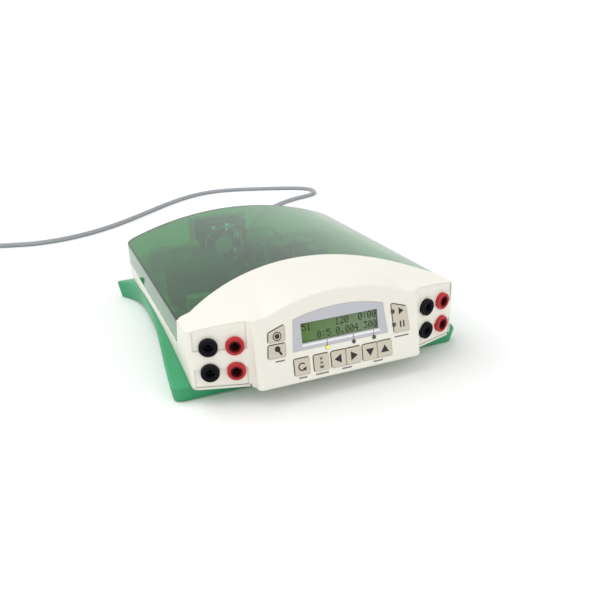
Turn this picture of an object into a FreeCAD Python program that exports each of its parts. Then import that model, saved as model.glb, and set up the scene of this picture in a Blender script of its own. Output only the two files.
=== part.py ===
import FreeCAD, Part
import math
import os

# Electrophoresis power supply: an arched bench case with a translucent cover, a white front fascia
# with a leaning console and two angled socket wings, and a flared green base.
# Millimetres. X runs to the right seen from the front, Y to the back, Z up.
# The origin is the middle of the footprint on the table.

Vector = FreeCAD.Vector

# How far a cutter passes what it cuts
PAST = 10.0

# Case
CONSOLE_WIDTH = 166.2
WING_WIDTH = 54.4
BODY_WIDTH = CONSOLE_WIDTH + 2 * WING_WIDTH
HALF = BODY_WIDTH / 2
CONSOLE_HALF = CONSOLE_WIDTH / 2
BODY_BACK_Y = 164.5
SIDE_TOP_Z = 72.8
CROWN_RISE = 27.4
PARTING_Z = 48.0
SHELL_BOTTOM_Z = 17.0
SHELL_TAPER = 2.5
WALL = 2.5
BACK_CORNER_R = 10.0
COVER_EDGE_R = 3.0
SHELL_GAP = 0.3
TONGUE_HEIGHT = 3.5
TONGUE_THICK = 1.5
TONGUE_GAP = 0.2
FLOOR_THICK = 2.2
THROAT_MARGIN = 3.0
LATCH_Y = 62.0
LATCH_Z = 53.0
LATCH_LENGTH = 7.0
LATCH_HEIGHT = 2.0

# Crescent seam between the fascia and the cover
SEAM_MID_Y = -52.3
SEAM_RADIUS = 196.0
SEAM_SHOULDER_X = HALF - 13.0
SEAM_CORNER_X = HALF - 4.5
SEAM_CORNER_DROP = 3.5
SEAM_LEAN = 0.3
SEAM_GAP = 0.4

# Fascia: wings and console
WING_ANGLE = 16.8
WING_CORNER_R = 8.0
WING_BOTTOM_Z = 20.0
WING_STEP = 1.0
BAND_LOW_Z = 37.0
BAND_HIGH_Z = 55.5
CHEEK_WIDTH = 4.5
CONSOLE_FRONT_Y = -171.0
CONSOLE_DEPTH = 13.6
CONSOLE_BOTTOM_Z = 17.1
CONSOLE_LEAN = 11.0
CONSOLE_BLEND = 5.0
CONSOLE_BACK_Y = -140.0
NOSE_TOP_Z = 96.6
NOSE_RADIUS = 185.0
NOSE_ARC_X = CONSOLE_HALF - 21.1
NOSE_BLEND = 20.0
SHOULDER_SLOPE = 0.16
CROWN_FRONT_Y = -156.0
CROWN_GRID_BACK_Y = -40
CROWN_GRID_FRONT_Y = -191
CROWN_STEP_X = 10.0
CROWN_STEP_Y = 15
TOP_EDGE_R = 2.0
NOSE_EDGE_R = 2.5

# Output sockets
SOCKET_HEAD_R = 8.4
SOCKET_HEAD = 3.0
SOCKET_BODY_R = 6.0
SOCKET_LENGTH = 23.0
SOCKET_MOUTH_R = 6.6
SOCKET_RIM_R = 0.8
SOCKET_BORE_R = 4.1
SOCKET_FUNNEL = 4.0
SOCKET_BORE_DEPTH = 22.0
SOCKET_PITCH_Z = 24.7
SOCKET_LOW_Z = 34.3
SOCKET_INNER_X = CONSOLE_HALF + 14.6
SOCKET_SPACING = 23.2
CONTACT_R = 2.6
CONTACT_BORE_R = 2.0
CONTACT_RECESS = 5.5
CONTACT_BORE_DEPTH = 16.0
CONTACT_SHANK_R = 1.6
CONTACT_TAIL = 4.0
NUT_ACROSS = 15.0
NUT_THICK = 3.0
HOLE_CLEARANCE = 0.2

# Display in the console, measured up the console's face. Keys and display are set inward from its sides.
COLUMN_OUT_LOW = CONSOLE_HALF - 11.5
COLUMN_OUT_HIGH = CONSOLE_HALF - 13.8
COLUMN_IN_LOW = COLUMN_OUT_LOW - 16.4
COLUMN_IN_HIGH = COLUMN_OUT_HIGH - 15.4
LCD_HALF = COLUMN_IN_HIGH - 4.9
VIEW_HALF = LCD_HALF - 10.4
BEZEL_HALF_LOW = VIEW_HALF + 9.4
BEZEL_HALF_HIGH = VIEW_HALF + 6.4
BEZEL_LOW = 30.6
BEZEL_HIGH = 59.5
BEZEL_ARCH = 6.3
BEZEL_THICK = 1.2
VIEW_LOW = 36.5
VIEW_HIGH = 54.9
WINDOW_MARGIN = 2.4
WINDOW_THICK = 1.2
LCD_LOW = 31.6
LCD_HIGH = 61.0
LCD_GAP = 0.1
LCD_GLASS = 1.0
GLASS_MARGIN = 1.6
LAMP_R = 1.7
LAMP_POP = 0.4
OUTPUT_LAMPS = [(-14.4, 28.6), (12.3, 28.6), (33.4, 28.6)]
RUN_LAMPS = [(COLUMN_IN_HIGH + 0.9, 49.3), (COLUMN_IN_LOW, 36.4)]

# Keys, measured up the console's face
KEY_PROUD = 0.5
KEY_GAP = 0.25
KEY_CORNER_R = 1.2
KEY_RIM_R = 0.4
STEM_DEPTH = 2.64
VALUE_WIDEN = 0.6
KEY_SWITCH_CORNER_R = 0.8
KEY_SEAT = 0.3
KEY_FLANGE = 1.2
KEY_FLANGE_LAP = 0.9
KEY_STEM_R = 1.7
STEM_FIT = 0.08
SWITCH_SIZE = 8.0
SWITCH_HEIGHT = 4.4
SWITCH_FLOOR = 0.6
BOARD_DEPTH = 10.4
BOARD_THICK = 1.6
KEY_LOW = 8.0
KEY_HIGH = 23.3
KEY_WIDTH = 14.4
KEY_SPLIT = 0.6
RESET_X = -41.0
CONSTANT_X = -22.0
CURSOR_X = 3.0
VALUE_X = 35.6
COLUMN_TOP_IN = 57.0
COLUMN_TOP_OUT = 52.0
COLUMN_BOTTOM = 28.5
COLUMN_SPLIT_HIGH = 43.0
COLUMN_SPLIT_LOW = 40.4
BOSS_R = 3.0
BOSS_X = CONSOLE_HALF - 6.6
BOSS_LOW = 12.0
BOSS_HIGH = 53.0

# Base and feet
BASE_BOTTOM_Z = 1.0
BASE_TOP_FRONT_Z = 16.0
BASE_TOP_MIDDLE_Z = 34.0
BASE_TOP_BACK_Z = 21.0
BASE_FRONT_Y = -127.5
BASE_MIDDLE_Y = 22.0
BASE_BACK_Y = 171.0
BASE_FRONT_CORNER = 8.0
BASE_LEAN = 0.18
BASE_FRONT_HALF = HALF + 12.4
BASE_THIGH_HALF = HALF - 0.7
BASE_THIGH_Y = -10.0
BASE_WAIST_HALF = HALF - 4.8
BASE_WAIST_Y = 85.0
BASE_HEEL_HALF = HALF + 3.9
BASE_HEEL_Y = 150.0
BASE_BACK_HALF = HALF + 13.0
BASE_ARCH_RISE = 5.0
BASE_ARCH_FROM_Y = -78.0
BASE_ARCH_TO_Y = 150.0
BASE_REAR_NOTCH = 5.0
BASE_REAR_NOTCH_HALF = HALF - 25.5
BASE_EDGE_R = 2.5
BASE_HEEL_CORNER = 6.0
TUB_HALF = HALF - 19.5
TUB_FRONT_Y = -117.0
TUB_BACK_Y = 155.0
TUB_BOTTOM_Z = 3.0
TUB_CORNER_R = 6.0
PAD_R = 7.0
PAD_THICK = 2.2
PAD_X = HALF - 7.5
PAD_FRONT_Y = -110.0
PAD_BACK_Y = 159.0

# Rear panel and what it carries
LOW_WINDOW_RIGHT = HALF - 19.5
SWITCH_X = LOW_WINDOW_RIGHT - 14.0
INLET_X = SWITCH_X - 42.0
FUSE_X = INLET_X - 38.0
FAN_X = FUSE_X - 44.0
PANEL_THICK = 1.5
PANEL_LAP = 4.0
SWITCH_LIP = 2.0
FAN_SIZE = 60.0
FAN_DEPTH = 25.0
FAN_Z = 58.0
FAN_BORE_R = 28.5
FAN_BLADE_R = 27.6
FAN_HUB_R = 13.0
FAN_BLADES = 7
FAN_BLADE_TILT = 38.0
FAN_BLADE_CHORD = 20.0
FAN_BLADE_THICK = 1.6
FAN_FLANGE = 3.0
FAN_STRUT = 3.0
FAN_RUN_GAP = 0.5
FAN_SHAFT_R = 2.5
SHAFT_FIT = 0.06
FAN_CORNER_R = 4.0
FAN_HOLE_PITCH = 50.0
SCREW_R = 1.7
SCREW_HEAD_R = 3.2
SCREW_HEAD = 1.8
SCREW_SLOT = 0.8
SCREW_SLOT_REACH = 0.65
FAN_SCREW_LENGTH = 12.0
INLET_SCREW_LENGTH = 8.0
FAN_WINDOW_HALF = 34.0
WINDOW_LOW_Z = 25.0
LOW_WINDOW_TOP_Z = 51.0
FAN_WINDOW_TOP_Z = 87.5
GRILLE_RINGS = 5
GRILLE_SLOT = 2.6
GRILLE_PITCH = 4.8
GRILLE_FIRST_R = 7.0
INLET_Z = 37.0
INLET_FLANGE_W = 50.0
INLET_FLANGE_H = 22.0
INLET_FLANGE_T = 2.2
INLET_FLANGE_R = 3.0
INLET_CORNER_R = 2.0
INLET_BODY_W = 27.6
INLET_BODY_H = 20.4
INLET_BODY_DEPTH = 22.0
INLET_SOCKET_W = 24.4
INLET_SOCKET_H = 16.4
INLET_SOCKET_DEPTH = 17.0
INLET_SCREW_SPAN = 40.0
PIN_SPAN = 7.0
PIN_RISE = 2.0
PIN_W = 2.0
PIN_H = 4.0
PIN_LENGTH = 14.0
TAB_LENGTH = 8.0
FUSE_W = 14.0
FUSE_H = 18.0
FUSE_DEPTH = 28.0
FUSE_WALL = 1.6
FUSE_FACE = 2.0
FUSE_FIT = 0.3
FUSE_LIP = 2.0
FUSE_FLANGE = 1.2
FUSE_CORNER_R = 1.0
FUSE_LIP_R = 1.5
FUSE_BORE_R = 0.8
FUSE_TRAY_R = 0.6
FUSE_GRIP_R = 0.5
CARTRIDGE_R = 2.5
CARTRIDGE_LENGTH = 20.0
ROCKER_W = 13.0
ROCKER_R = 9.0
ROCKER_WALL = 1.6
ROCKER_BODY_DEPTH = 18.0
ROCKER_PIVOT_DEPTH = 3.0
ROCKER_FLANGE = 1.6
ROCKER_GAP = 0.4
ROCKER_TILT = 8.0
ROCKER_PROUD = 0.6
ROCKER_CORNER_R = 1.0
ROCKER_LIP_R = 1.5
PIVOT_R = 1.5
PIVOT_FIT = 0.06

# Boards and parts inside
BOARD_Z = 12.0
MAIN_LEFT_X = 23.5 - HALF
MAIN_RIGHT_X = HALF - 23.5
MAIN_FRONT_Y = -96.0
MAIN_BACK_Y = 130.0
MAIN_NOTCH_Y = 50.0
STANDOFF_R = 3.5
TOROID_X = 69.5 - HALF
TOROID_Y = 92.0
TOROID_R = 37.0
MAIN_NOTCH_X = TOROID_X + TOROID_R + 3.0
TOROID_HOLE_R = 9.0
TOROID_HEIGHT = 57.5
TOROID_EDGE_R = 12.0
CLAMP_R = 24.0
CLAMP_THICK = 2.0
CLAMP_BOLT_R = 2.5
CLAMP_HEAD_R = 5.5
CLAMP_HEAD = 3.5
CAPACITOR_R = 15.0
CAPACITOR_HEIGHT = 49.0
CAPACITOR_EDGE_R = 1.5
CAPACITORS = [(42.0, 95.0), (76.0, 95.0), (76.0, 60.0)]
SINK_LENGTH = 96.0
SINK_HEIGHT = 56.0
SINK_BASE = 5.0
SINK_FIN = 1.6
SINK_FIN_PITCH = 6.4
SINK_FIN_DEPTH = 16.0
SINK_FINS = 8
SINKS = [(-20.0, -64.0, 1), (52.0, -64.0, -1)]
TRANSISTORS = 3
TRANSISTOR_W = 16.0
TRANSISTOR_H = 21.0
TRANSISTOR_THICK = 4.8
TRANSISTOR_RISE = 14.0
LEAD_PITCH = 5.45
LEAD_W = 1.2
CHOKES = [(-92.0, -70.0), (-92.0, -42.0), (92.0, -70.0), (92.0, -42.0)]
CHOKE_R = 9.0
CHOKE_WAIST_R = 7.0
CHOKE_HEIGHT = 18.0
CHOKE_END = 2.5
FERRITE_PLACE = (16.0, 8.0)
FERRITE_W = 42.0
FERRITE_D = 16.0
FERRITE_H = 36.0
FERRITE_LIMB = 7.0
FERRITE_FOOT = 2.0
FILM_CORNER_R = 0.8
FILM_BOXES = [(-90.0, -3.0, 26.0, 14.0, 36.0), (90.0, -8.0, 26.0, 11.0, 20.0),
              (90.0, 12.0, 26.0, 11.0, 20.0)]
WIRE_R = 1.3
WIRE_RUN = 12.0
WIRE_BEND_R = 6.0
WIRE_EDGE = 5.0
WIRE_STEP = 5.0
FAN_LEAD_Z = 72.0
FAN_LEAD_X = 44.0
RIBBON_V = 20.0
RIBBON_RUN = 14.0
RIBBON_RISE = 14.0
RIBBON_BEND_R = 5.0
RIBBON_W = 30.0
RIBBON_THICK = 0.9
CASE_SCREWS_Y = (-60.0, 20.0, 100.0)
CASE_SCREW_LENGTH = 18.0
CASE_SEAT_Z = 10.0
CASE_BOSS_R = 3.4
LOOM_R = 6.5
LOOM_Z = 59.0
LOOM_X = 20.5 - HALF
LOOM_Y = 148.0
LOOM_BEND_R = 14.0

# Mains lead
CORD_R = 3.5
RELIEF_LENGTH = 30.0
RELIEF_R = 6.0
RELIEF_TIP_R = 4.3
CONNECTOR_W = 27.0
CONNECTOR_H = 20.0
CONNECTOR_LENGTH = 28.0
CONNECTOR_EDGE_R = 2.5
CONNECTOR_CORNER_R = 4.0
CONNECTOR_SEAT = 0.3
NOSE_FIT = 0.2
CORD_DROP = [
    (0.0, 26.0, 0.0), (2.0, 58.0, -15.0), (8.0, 92.0, -31.5),
]
CORD_ON_TABLE = [
    (82.0, 349.5), (99.0, 385.5), (121.0, 423.5), (148.0, 460.5), (177.0, 495.5), (211.0, 523.5),
    (248.0, 544.0), (285.0, 555.0), (305.0, 577.0), (304.0, 608.0), (281.0, 629.0), (249.0, 645.0),
    (209.0, 662.0), (168.0, 677.0), (127.0, 685.0), (88.0, 678.0), (50.0, 658.0), (12.0, 628.0),
    (-30.0, 588.0), (-73.0, 546.0), (-113.0, 511.0), (-154.0, 484.0), (-197.0, 467.0), (-241.0, 462.0),
    (-281.0, 473.0), (-320.0, 486.5),
]
COIL_CENTRE = (-356.0, 444.0)
COIL_R = 42.5
COIL_GAP = 0.6
COIL_TURNS = 2.25
COIL_CLIMB = 0.5
COIL_STEPS = 3
COIL_LEAD = 7.0
COIL_TAIL = 22.0
PLUG_LENGTH = 38.0
PLUG_W = 27.0
PLUG_TAPER = 5.0
PLUG_NARROW = 0.75
PLUG_CORNER_R = 4.0
PLUG_PIN_LENGTH = 18.0
PLUG_PIN_SPAN = 6.35
PLUG_PIN_R = 2.2


def box(x, y, z):
    """Block between pairs of coordinates."""
    return Part.makeBox(x[1] - x[0], y[1] - y[0], z[1] - z[0], Vector(x[0], y[0], z[0]))


def rod(radius, height, base=(0, 0, 0), axis=(0, 0, 1)):
    """Solid cylinder."""
    return Part.makeCylinder(radius, height, Vector(*base), Vector(*axis))


def outline(corners):
    """Closed wire in the XY plane from (x, y, corner radius)."""
    starts, arcs, ends = [], [], []
    count = len(corners)
    for i, (x, y, radius) in enumerate(corners):
        point = Vector(x, y, 0)
        before = (Vector(*corners[i - 1][:2], 0) - point).normalize()
        after = (Vector(*corners[(i + 1) % count][:2], 0) - point).normalize()
        half = before.getAngle(after) / 2
        if radius <= 0:
            starts.append(point)
            arcs.append(None)
            ends.append(point)
            continue
        reach = radius / math.tan(half)
        centre = point + (before + after).normalize() * (radius / math.sin(half))
        starts.append(point + before * reach)
        arcs.append(centre + (point - centre).normalize() * radius)
        ends.append(point + after * reach)
    edges = []
    for i in range(count):
        if arcs[i]:
            edges.append(Part.Arc(starts[i], arcs[i], ends[i]).toShape())
        edges.append(Part.makeLine(ends[i], starts[(i + 1) % count]))
    return Part.Wire(edges)


def slab(corners, low, high):
    """Flat plate of the outline, between two heights."""
    wire = outline(corners)
    wire.translate(Vector(0, 0, low))
    return Part.Face(wire).extrude(Vector(0, 0, high - low))


def block(half_x, half_y, radius=0.0, at=(0.0, 0.0)):
    """Corners of a rectangle with rounded corners."""
    x, y = at
    return [(x - half_x, y - half_y, radius), (x + half_x, y - half_y, radius),
            (x + half_x, y + half_y, radius), (x - half_x, y + half_y, radius)]


def frame(origin, across, up):
    """Placement whose X, Y and Z run across, up and out of a face."""
    u = Vector(*across).normalize()
    v = Vector(*up).normalize()
    w = u.cross(v)
    o = Vector(*origin)
    return FreeCAD.Placement(FreeCAD.Matrix(u.x, v.x, w.x, o.x, u.y, v.y, w.y, o.y, u.z, v.z, w.z, o.z, 0,
                                            0, 0, 1))


def put(shape, placement):
    """Copy of a shape moved into a frame."""
    moved = shape.copy()
    moved.Placement = placement.multiply(shape.Placement)
    return moved


def join(shapes):
    """One solid from touching or overlapping solids."""
    shapes = list(shapes)
    return shapes[0].fuse(shapes[1:]).removeSplitter() if len(shapes) > 1 else shapes[0]


def group(shapes):
    """Separate solids kept together in one node."""
    solids = []
    for shape in shapes:
        solids.extend(shape.Solids)
    return Part.makeCompound(solids)


def edges_where(shape, test):
    """Edges whose middle point passes a test."""
    found = []
    for edge in shape.Edges:
        low, high = edge.ParameterRange
        if test(edge.valueAt((low + high) / 2)):
            found.append(edge)
    return found


def arc_pair(start, start_way, end, end_way):
    """Two arcs that meet smoothly and leave and arrive along the given unit directions."""
    chord = end - start
    ways = start_way + end_way
    along = chord.dot(ways)
    square = 2 * (1 - start_way.dot(end_way))
    if square < 1e-9:
        reach = chord.dot(chord) / (4 * chord.dot(end_way))
    else:
        reach = (-along + math.sqrt(along ** 2 + square * chord.dot(chord))) / square
    first = start + start_way * reach
    last = end - end_way * reach
    middle = (first + last) / 2
    return [curve_through(start, start_way, middle), curve_through(end, -end_way, middle, True)]


def curve_through(start, way, end, reverse=False):
    """Arc from start to end that leaves start along a direction."""
    chord = end - start
    side = chord - way * chord.dot(way)
    if side.Length < 1e-7 * chord.Length:
        return Part.makeLine(end, start) if reverse else Part.makeLine(start, end)
    side.normalize()
    radius = chord.dot(chord) / (2 * chord.dot(side))
    centre = start + side * radius
    bulge = (start + end) / 2 - centre
    if bulge.Length < 1e-9:
        bulge = way
    middle = centre + bulge.normalize() * radius
    if chord.dot(way) < 0:
        middle = centre - bulge * radius
    points = (end, middle, start) if reverse else (start, middle, end)
    return Part.Arc(*points).toShape()


def bent_path(points, radius=None, note=None):
    """Straight runs joined by tangent arcs, as wide as the runs allow or of one radius."""
    points = [Vector(*p) for p in points]
    edges, radii = [], []
    here = points[0]
    for i in range(1, len(points) - 1):
        before = points[i] - points[i - 1]
        after = points[i + 1] - points[i]
        half = before.getAngle(after) / 2
        wide = 0.45 * min(before.Length, after.Length) / math.tan(half)
        bend = wide if radius is None else min(radius, wide)
        reach = bend * math.tan(half)
        before.normalize()
        after.normalize()
        start = points[i] - before * reach
        end = points[i] + after * reach
        edges.append(Part.makeLine(here, start))
        edges.append(curve_through(start, before, end))
        here = end
        radii.append(bend)
    edges.append(Part.makeLine(here, points[-1]))
    if note:
        print(note, "radii", " ".join("%.0f" % r for r in radii),
              "length %.1f" % sum(e.Length for e in edges))
    return edges


def tube(edges, radius):
    """Round solid along a path of edges."""
    path = Part.Wire(edges)
    first = edges[0]
    start = first.valueAt(first.ParameterRange[0])
    way = first.tangentAt(first.ParameterRange[0])
    ring = Part.Wire(Part.makeCircle(radius, start, way))
    return path.makePipeShell([ring], True, False)


def save(node, shape):
    """Write one node's solids."""
    if len(shape.Solids) == 1:
        shape = shape.Solids[0]
    shape.exportStep("parts/" + node + ".step")
    print("%-22s solids %2d valid %s volume %.0f" % (node, len(shape.Solids), shape.isValid(),
                                                     shape.Volume))


# Case hull: arched top, straight side walls, lower walls leaning in towards the base.

ARCH_R = (HALF ** 2 + CROWN_RISE ** 2) / (2 * CROWN_RISE)
ARCH_CENTRE_Z = SIDE_TOP_Z + CROWN_RISE - ARCH_R
FAR_FRONT_Y = CONSOLE_FRONT_Y - 30
CEILING_Z = SIDE_TOP_Z + CROWN_RISE + 20
REAR_WALL_Y = BODY_BACK_Y - WALL


def arch_height(x, inset=0.0):
    """Height of the arched top at a distance from the middle."""
    return ARCH_CENTRE_Z + math.sqrt((ARCH_R - inset) ** 2 - x ** 2)


def lean_in(z):
    """How far the lower side walls lean in at a height."""
    return SHELL_TAPER * max(0.0, PARTING_Z - z) / (PARTING_Z - SHELL_BOTTOM_Z)


def hull(inset, bottom, rounded=False):
    """The case as one solid, inset from its outer faces, down to a height."""
    half = HALF - inset
    foot = half - lean_in(bottom)
    top = arch_height(half, inset)
    corners = [Vector(-foot, 0, bottom), Vector(foot, 0, bottom), Vector(half, 0, PARTING_Z),
               Vector(half, 0, top)]
    edges = [Part.makeLine(a, b) for a, b in zip(corners, corners[1:])]
    edges.append(Part.Arc(corners[-1], Vector(0, 0, arch_height(0, inset)),
                          Vector(-half, 0, top)).toShape())
    edges.append(Part.makeLine(Vector(-half, 0, top), Vector(-half, 0, PARTING_Z)))
    edges.append(Part.makeLine(Vector(-half, 0, PARTING_Z), corners[0]))
    face = Part.Face(Part.Wire(edges))
    face.translate(Vector(0, FAR_FRONT_Y, 0))
    back = BODY_BACK_Y - inset
    body = face.extrude(Vector(0, back - FAR_FRONT_Y, 0))
    if rounded:
        body = body.makeFillet(COVER_EDGE_R, edges_where(body, lambda p: abs(abs(p.x) - half) < 0.01
                                                         and abs(p.z - top) < 0.01))
    corner = BACK_CORNER_R - inset
    plan = [(-half, FAR_FRONT_Y, 0), (half, FAR_FRONT_Y, 0), (half, back, corner), (-half, back, corner)]
    return body.common(slab(plan, bottom - 1, CEILING_Z))


def below(z):
    """Everything under a height."""
    return box((-2 * HALF, 2 * HALF), (FAR_FRONT_Y - 50, BASE_BACK_Y + 50), (-50, z))


def seam_y(x, z):
    """Where the crescent seam crosses the case at a distance from the middle and a height."""
    across = min(abs(x), SEAM_SHOULDER_X)
    return SEAM_MID_Y - SEAM_RADIUS + math.sqrt(SEAM_RADIUS ** 2 - across ** 2) - SEAM_LEAN * (z - PARTING_Z)


def seam_front(shift=0.0):
    """Everything in front of the crescent seam, the seam moved back by a shift."""
    shoulder = seam_y(SEAM_SHOULDER_X, 0) + shift
    middle = seam_y(0, 0) + shift
    outer_x = HALF + 20
    drop = SEAM_CORNER_DROP * (outer_x - SEAM_CORNER_X) / (HALF - SEAM_CORNER_X)
    right = [Vector(SEAM_SHOULDER_X, shoulder, 0), Vector(SEAM_CORNER_X, shoulder, 0),
             Vector(outer_x, shoulder - drop, 0), Vector(outer_x, FAR_FRONT_Y - 40, 0)]
    left = [Vector(-p.x, p.y, 0) for p in right]
    edges = [Part.makeLine(a, b) for a, b in zip(right, right[1:])]
    edges.append(Part.makeLine(right[-1], left[-1]))
    edges += [Part.makeLine(left[i], left[i - 1]) for i in (3, 2, 1)]
    edges.append(Part.Arc(left[0], Vector(0, middle, 0), right[0]).toShape())
    return Part.Face(Part.Wire(edges)).extrude(Vector(0, -SEAM_LEAN * CEILING_Z, CEILING_Z))


# Fascia: a crown that rolls down from the arch to the front edge, two angled wings and a leaning console.

LEAN = math.tan(math.radians(CONSOLE_LEAN))
WING_SLOPE = math.tan(math.radians(WING_ANGLE))
WING_COS = math.cos(math.radians(WING_ANGLE))
WING_INNER_Y = CONSOLE_FRONT_Y + CONSOLE_DEPTH


def wing_y(x, depth=0.0):
    """Wing's face at a distance from the middle, a depth behind its band."""
    return WING_INNER_Y + (abs(x) - CONSOLE_HALF) * WING_SLOPE + depth / WING_COS


def console_y(z, depth=0.0):
    """Console's face at a height, a depth behind its surface."""
    return CONSOLE_FRONT_Y + (z - CONSOLE_BOTTOM_Z) * LEAN + depth * math.sqrt(1 + LEAN ** 2)


def front_edge_height(x):
    """Height of the crown along the front edge: a rounded nose that fades into sloping shoulders."""
    x = abs(x)
    shoulder = SIDE_TOP_Z + SHOULDER_SLOPE * (HALF - x)
    if x >= NOSE_ARC_X + NOSE_BLEND:
        return shoulder
    nose = NOSE_TOP_Z - NOSE_RADIUS + math.sqrt(NOSE_RADIUS ** 2 - x ** 2)
    blend = max(0.0, x - NOSE_ARC_X) / NOSE_BLEND
    blend = blend * blend * (3 - 2 * blend)
    return nose + (shoulder - nose) * blend


def crown_height(x, y):
    """Height of the fascia's top: the arch at the seam, the front edge's profile further forward."""
    arch = arch_height(x)
    seam = seam_y(x, arch)
    roll = max(0.0, (seam - y) / (seam - CROWN_FRONT_Y))
    return arch - (arch - front_edge_height(x)) * roll ** 2


def under_crown(drop=0.0):
    """Everything under the fascia's top, lowered by a drop."""
    reach = HALF + 3
    steps = 2 * round(reach / CROWN_STEP_X)
    lines = []
    for y in range(CROWN_GRID_BACK_Y, CROWN_GRID_FRONT_Y, -CROWN_STEP_Y):
        xs = [reach * (2 * i / steps - 1) for i in range(steps + 1)]
        lines.append([Vector(x, y, crown_height(x, y) - drop) for x in xs])
    surface = Part.BSplineSurface()
    surface.interpolate(lines)
    return surface.toShape().extrude(Vector(0, 0, -CEILING_Z))


def fascia_section(z, inset, back):
    """Outline of the fascia at a height: side walls, wings and console, joined by soft bends."""
    half = HALF - inset
    bend = CONSOLE_BLEND
    corner = max(WING_CORNER_R - inset, 1.0)
    face = console_y(z, inset)
    reach = corner * math.tan(math.radians(90 - WING_ANGLE) / 2)
    joint = Vector(half, wing_y(half, inset), z)
    wing_way = Vector(-WING_COS, -WING_COS * WING_SLOPE, 0)
    outer = joint + Vector(0, 1, 0) * reach
    inner = joint + wing_way * reach
    root = Vector(CONSOLE_HALF + bend - inset, wing_y(CONSOLE_HALF + bend - inset, inset), z)
    tip = Vector(CONSOLE_HALF - bend - inset, face, z)
    right = [Part.makeLine(Vector(half, back, z), outer), curve_through(outer, Vector(0, -1, 0), inner),
             Part.makeLine(inner, root)] + arc_pair(root, wing_way, tip, Vector(-1, 0, 0))
    left = [edge.mirror(Vector(0, 0, 0), Vector(1, 0, 0)) for edge in right]
    front = Part.makeLine(tip, Vector(-tip.x, tip.y, z))
    rear = Part.makeLine(Vector(-half, back, z), Vector(half, back, z))
    return Part.Wire(Part.__sortEdges__(right + [front] + left + [rear]))


def fascia_body(inset, back, low, drop):
    """The fascia's outer form, inset from its faces."""
    body = Part.makeLoft([fascia_section(low, inset, back), fascia_section(CEILING_Z, inset, back)], True,
                         True)
    return body.common(under_crown(drop))


CONSOLE_FRAME = frame((0, CONSOLE_FRONT_Y, CONSOLE_BOTTOM_Z), (1, 0, 0), (0, LEAN, 1))


def wing_frame(side, z=0.0, x=SOCKET_INNER_X):
    """Frame on a wing's band: across to the right, up, and out of the wing."""
    return frame((side * x, wing_y(x), z), (1, side * WING_SLOPE, 0), (0, 0, 1))


def socket_frames():
    """Each output socket's frame, with its place and colour."""
    frames = []
    for side, where in ((-1, "left"), (1, "right")):
        for z, level in ((SOCKET_LOW_Z, "lower"), (SOCKET_LOW_Z + SOCKET_PITCH_Z, "upper")):
            for i in range(2):
                x = SOCKET_INNER_X + i * SOCKET_SPACING * WING_COS
                colour = "black" if (i == 1) == (side == -1) else "red"
                name = "socket_%s_%s_%s" % (where, level, colour)
                frames.append((name, wing_frame(side, z, x), colour))
    return frames


SOCKETS = socket_frames()

# Keys: each is a cap with a flange behind the fascia and a stem that slides in its switch.


def span(middle, count, width):
    """Key edges in a row, split by a small gap."""
    pitch = width + KEY_SPLIT
    left = middle - pitch * count / 2
    return [(left + pitch * i + KEY_SPLIT / 2,
             left + pitch * (i + 1) - KEY_SPLIT / 2) for i in range(count)]


def row_key(edges):
    """Corners of a key in the bottom row."""
    return [(edges[0], KEY_LOW), (edges[1], KEY_LOW), (edges[1], KEY_HIGH), (edges[0], KEY_HIGH)]


def column_x(v, inner):
    """Edge of a side column of keys at a height up the face; the columns splay towards the bottom."""
    low, high = (COLUMN_IN_LOW, COLUMN_IN_HIGH) if inner else (COLUMN_OUT_LOW, COLUMN_OUT_HIGH)
    top = COLUMN_TOP_IN if inner else COLUMN_TOP_OUT
    return low + (high - low) * (v - COLUMN_BOTTOM) / (top - COLUMN_BOTTOM)


def column_key(side, low, high_in, high_out):
    """Corners of a key in a side column."""
    points = [(column_x(low, True), low), (column_x(low, False), low),
              (column_x(high_out, False), high_out), (column_x(high_in, True), high_in)]
    points = [(side * x, v) for x, v in points]
    return points if side > 0 else points[::-1]


CURSORS = span(CURSOR_X, 2, KEY_WIDTH)
VALUES = span(VALUE_X, 2, KEY_WIDTH + VALUE_WIDEN)
KEYS = {
    "key_reset": row_key(span(RESET_X, 1, KEY_WIDTH)[0]),
    "key_constant": row_key(span(CONSTANT_X, 1, KEY_WIDTH)[0]),
    "key_cursor_left": row_key(CURSORS[0]),
    "key_cursor_right": row_key(CURSORS[1]),
    "key_value_down": row_key(VALUES[0]),
    "key_value_up": row_key(VALUES[1]),
    "key_setup": column_key(-1, COLUMN_BOTTOM, COLUMN_SPLIT_LOW, COLUMN_SPLIT_LOW),
    "key_stop": column_key(-1, COLUMN_SPLIT_HIGH, COLUMN_TOP_IN, COLUMN_TOP_OUT),
    "key_run_pause": column_key(1, COLUMN_BOTTOM, COLUMN_TOP_IN, COLUMN_TOP_OUT),
}
KEY_BACK = WALL + KEY_SEAT + KEY_FLANGE
SWITCH_TOP = BOARD_DEPTH - SWITCH_HEIGHT


def grown(points, gap):
    """Corner points moved out from a convex outline by a gap."""
    moved = []
    for i, (x, y) in enumerate(points):
        here = Vector(x, y, 0)
        before = (here - Vector(*points[i - 1], 0)).normalize()
        after = (Vector(*points[(i + 1) % len(points)], 0) - here).normalize()
        turn = before.getAngle(after)
        out = (before - after).normalize()
        shift = out * (gap / math.cos(turn / 2))
        moved.append((x + shift.x, y + shift.y))
    return moved


def centre_of(points):
    """Middle of a key, where its stem stands."""
    return sum(p[0] for p in points) / len(points), sum(p[1] for p in points) / len(points)


def lamp_rods(places, radius, low, high):
    """Round bars at the lamps' places, square to the console."""
    return [rod(radius, high - low, (x, v, low)) for x, v in places]


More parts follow.
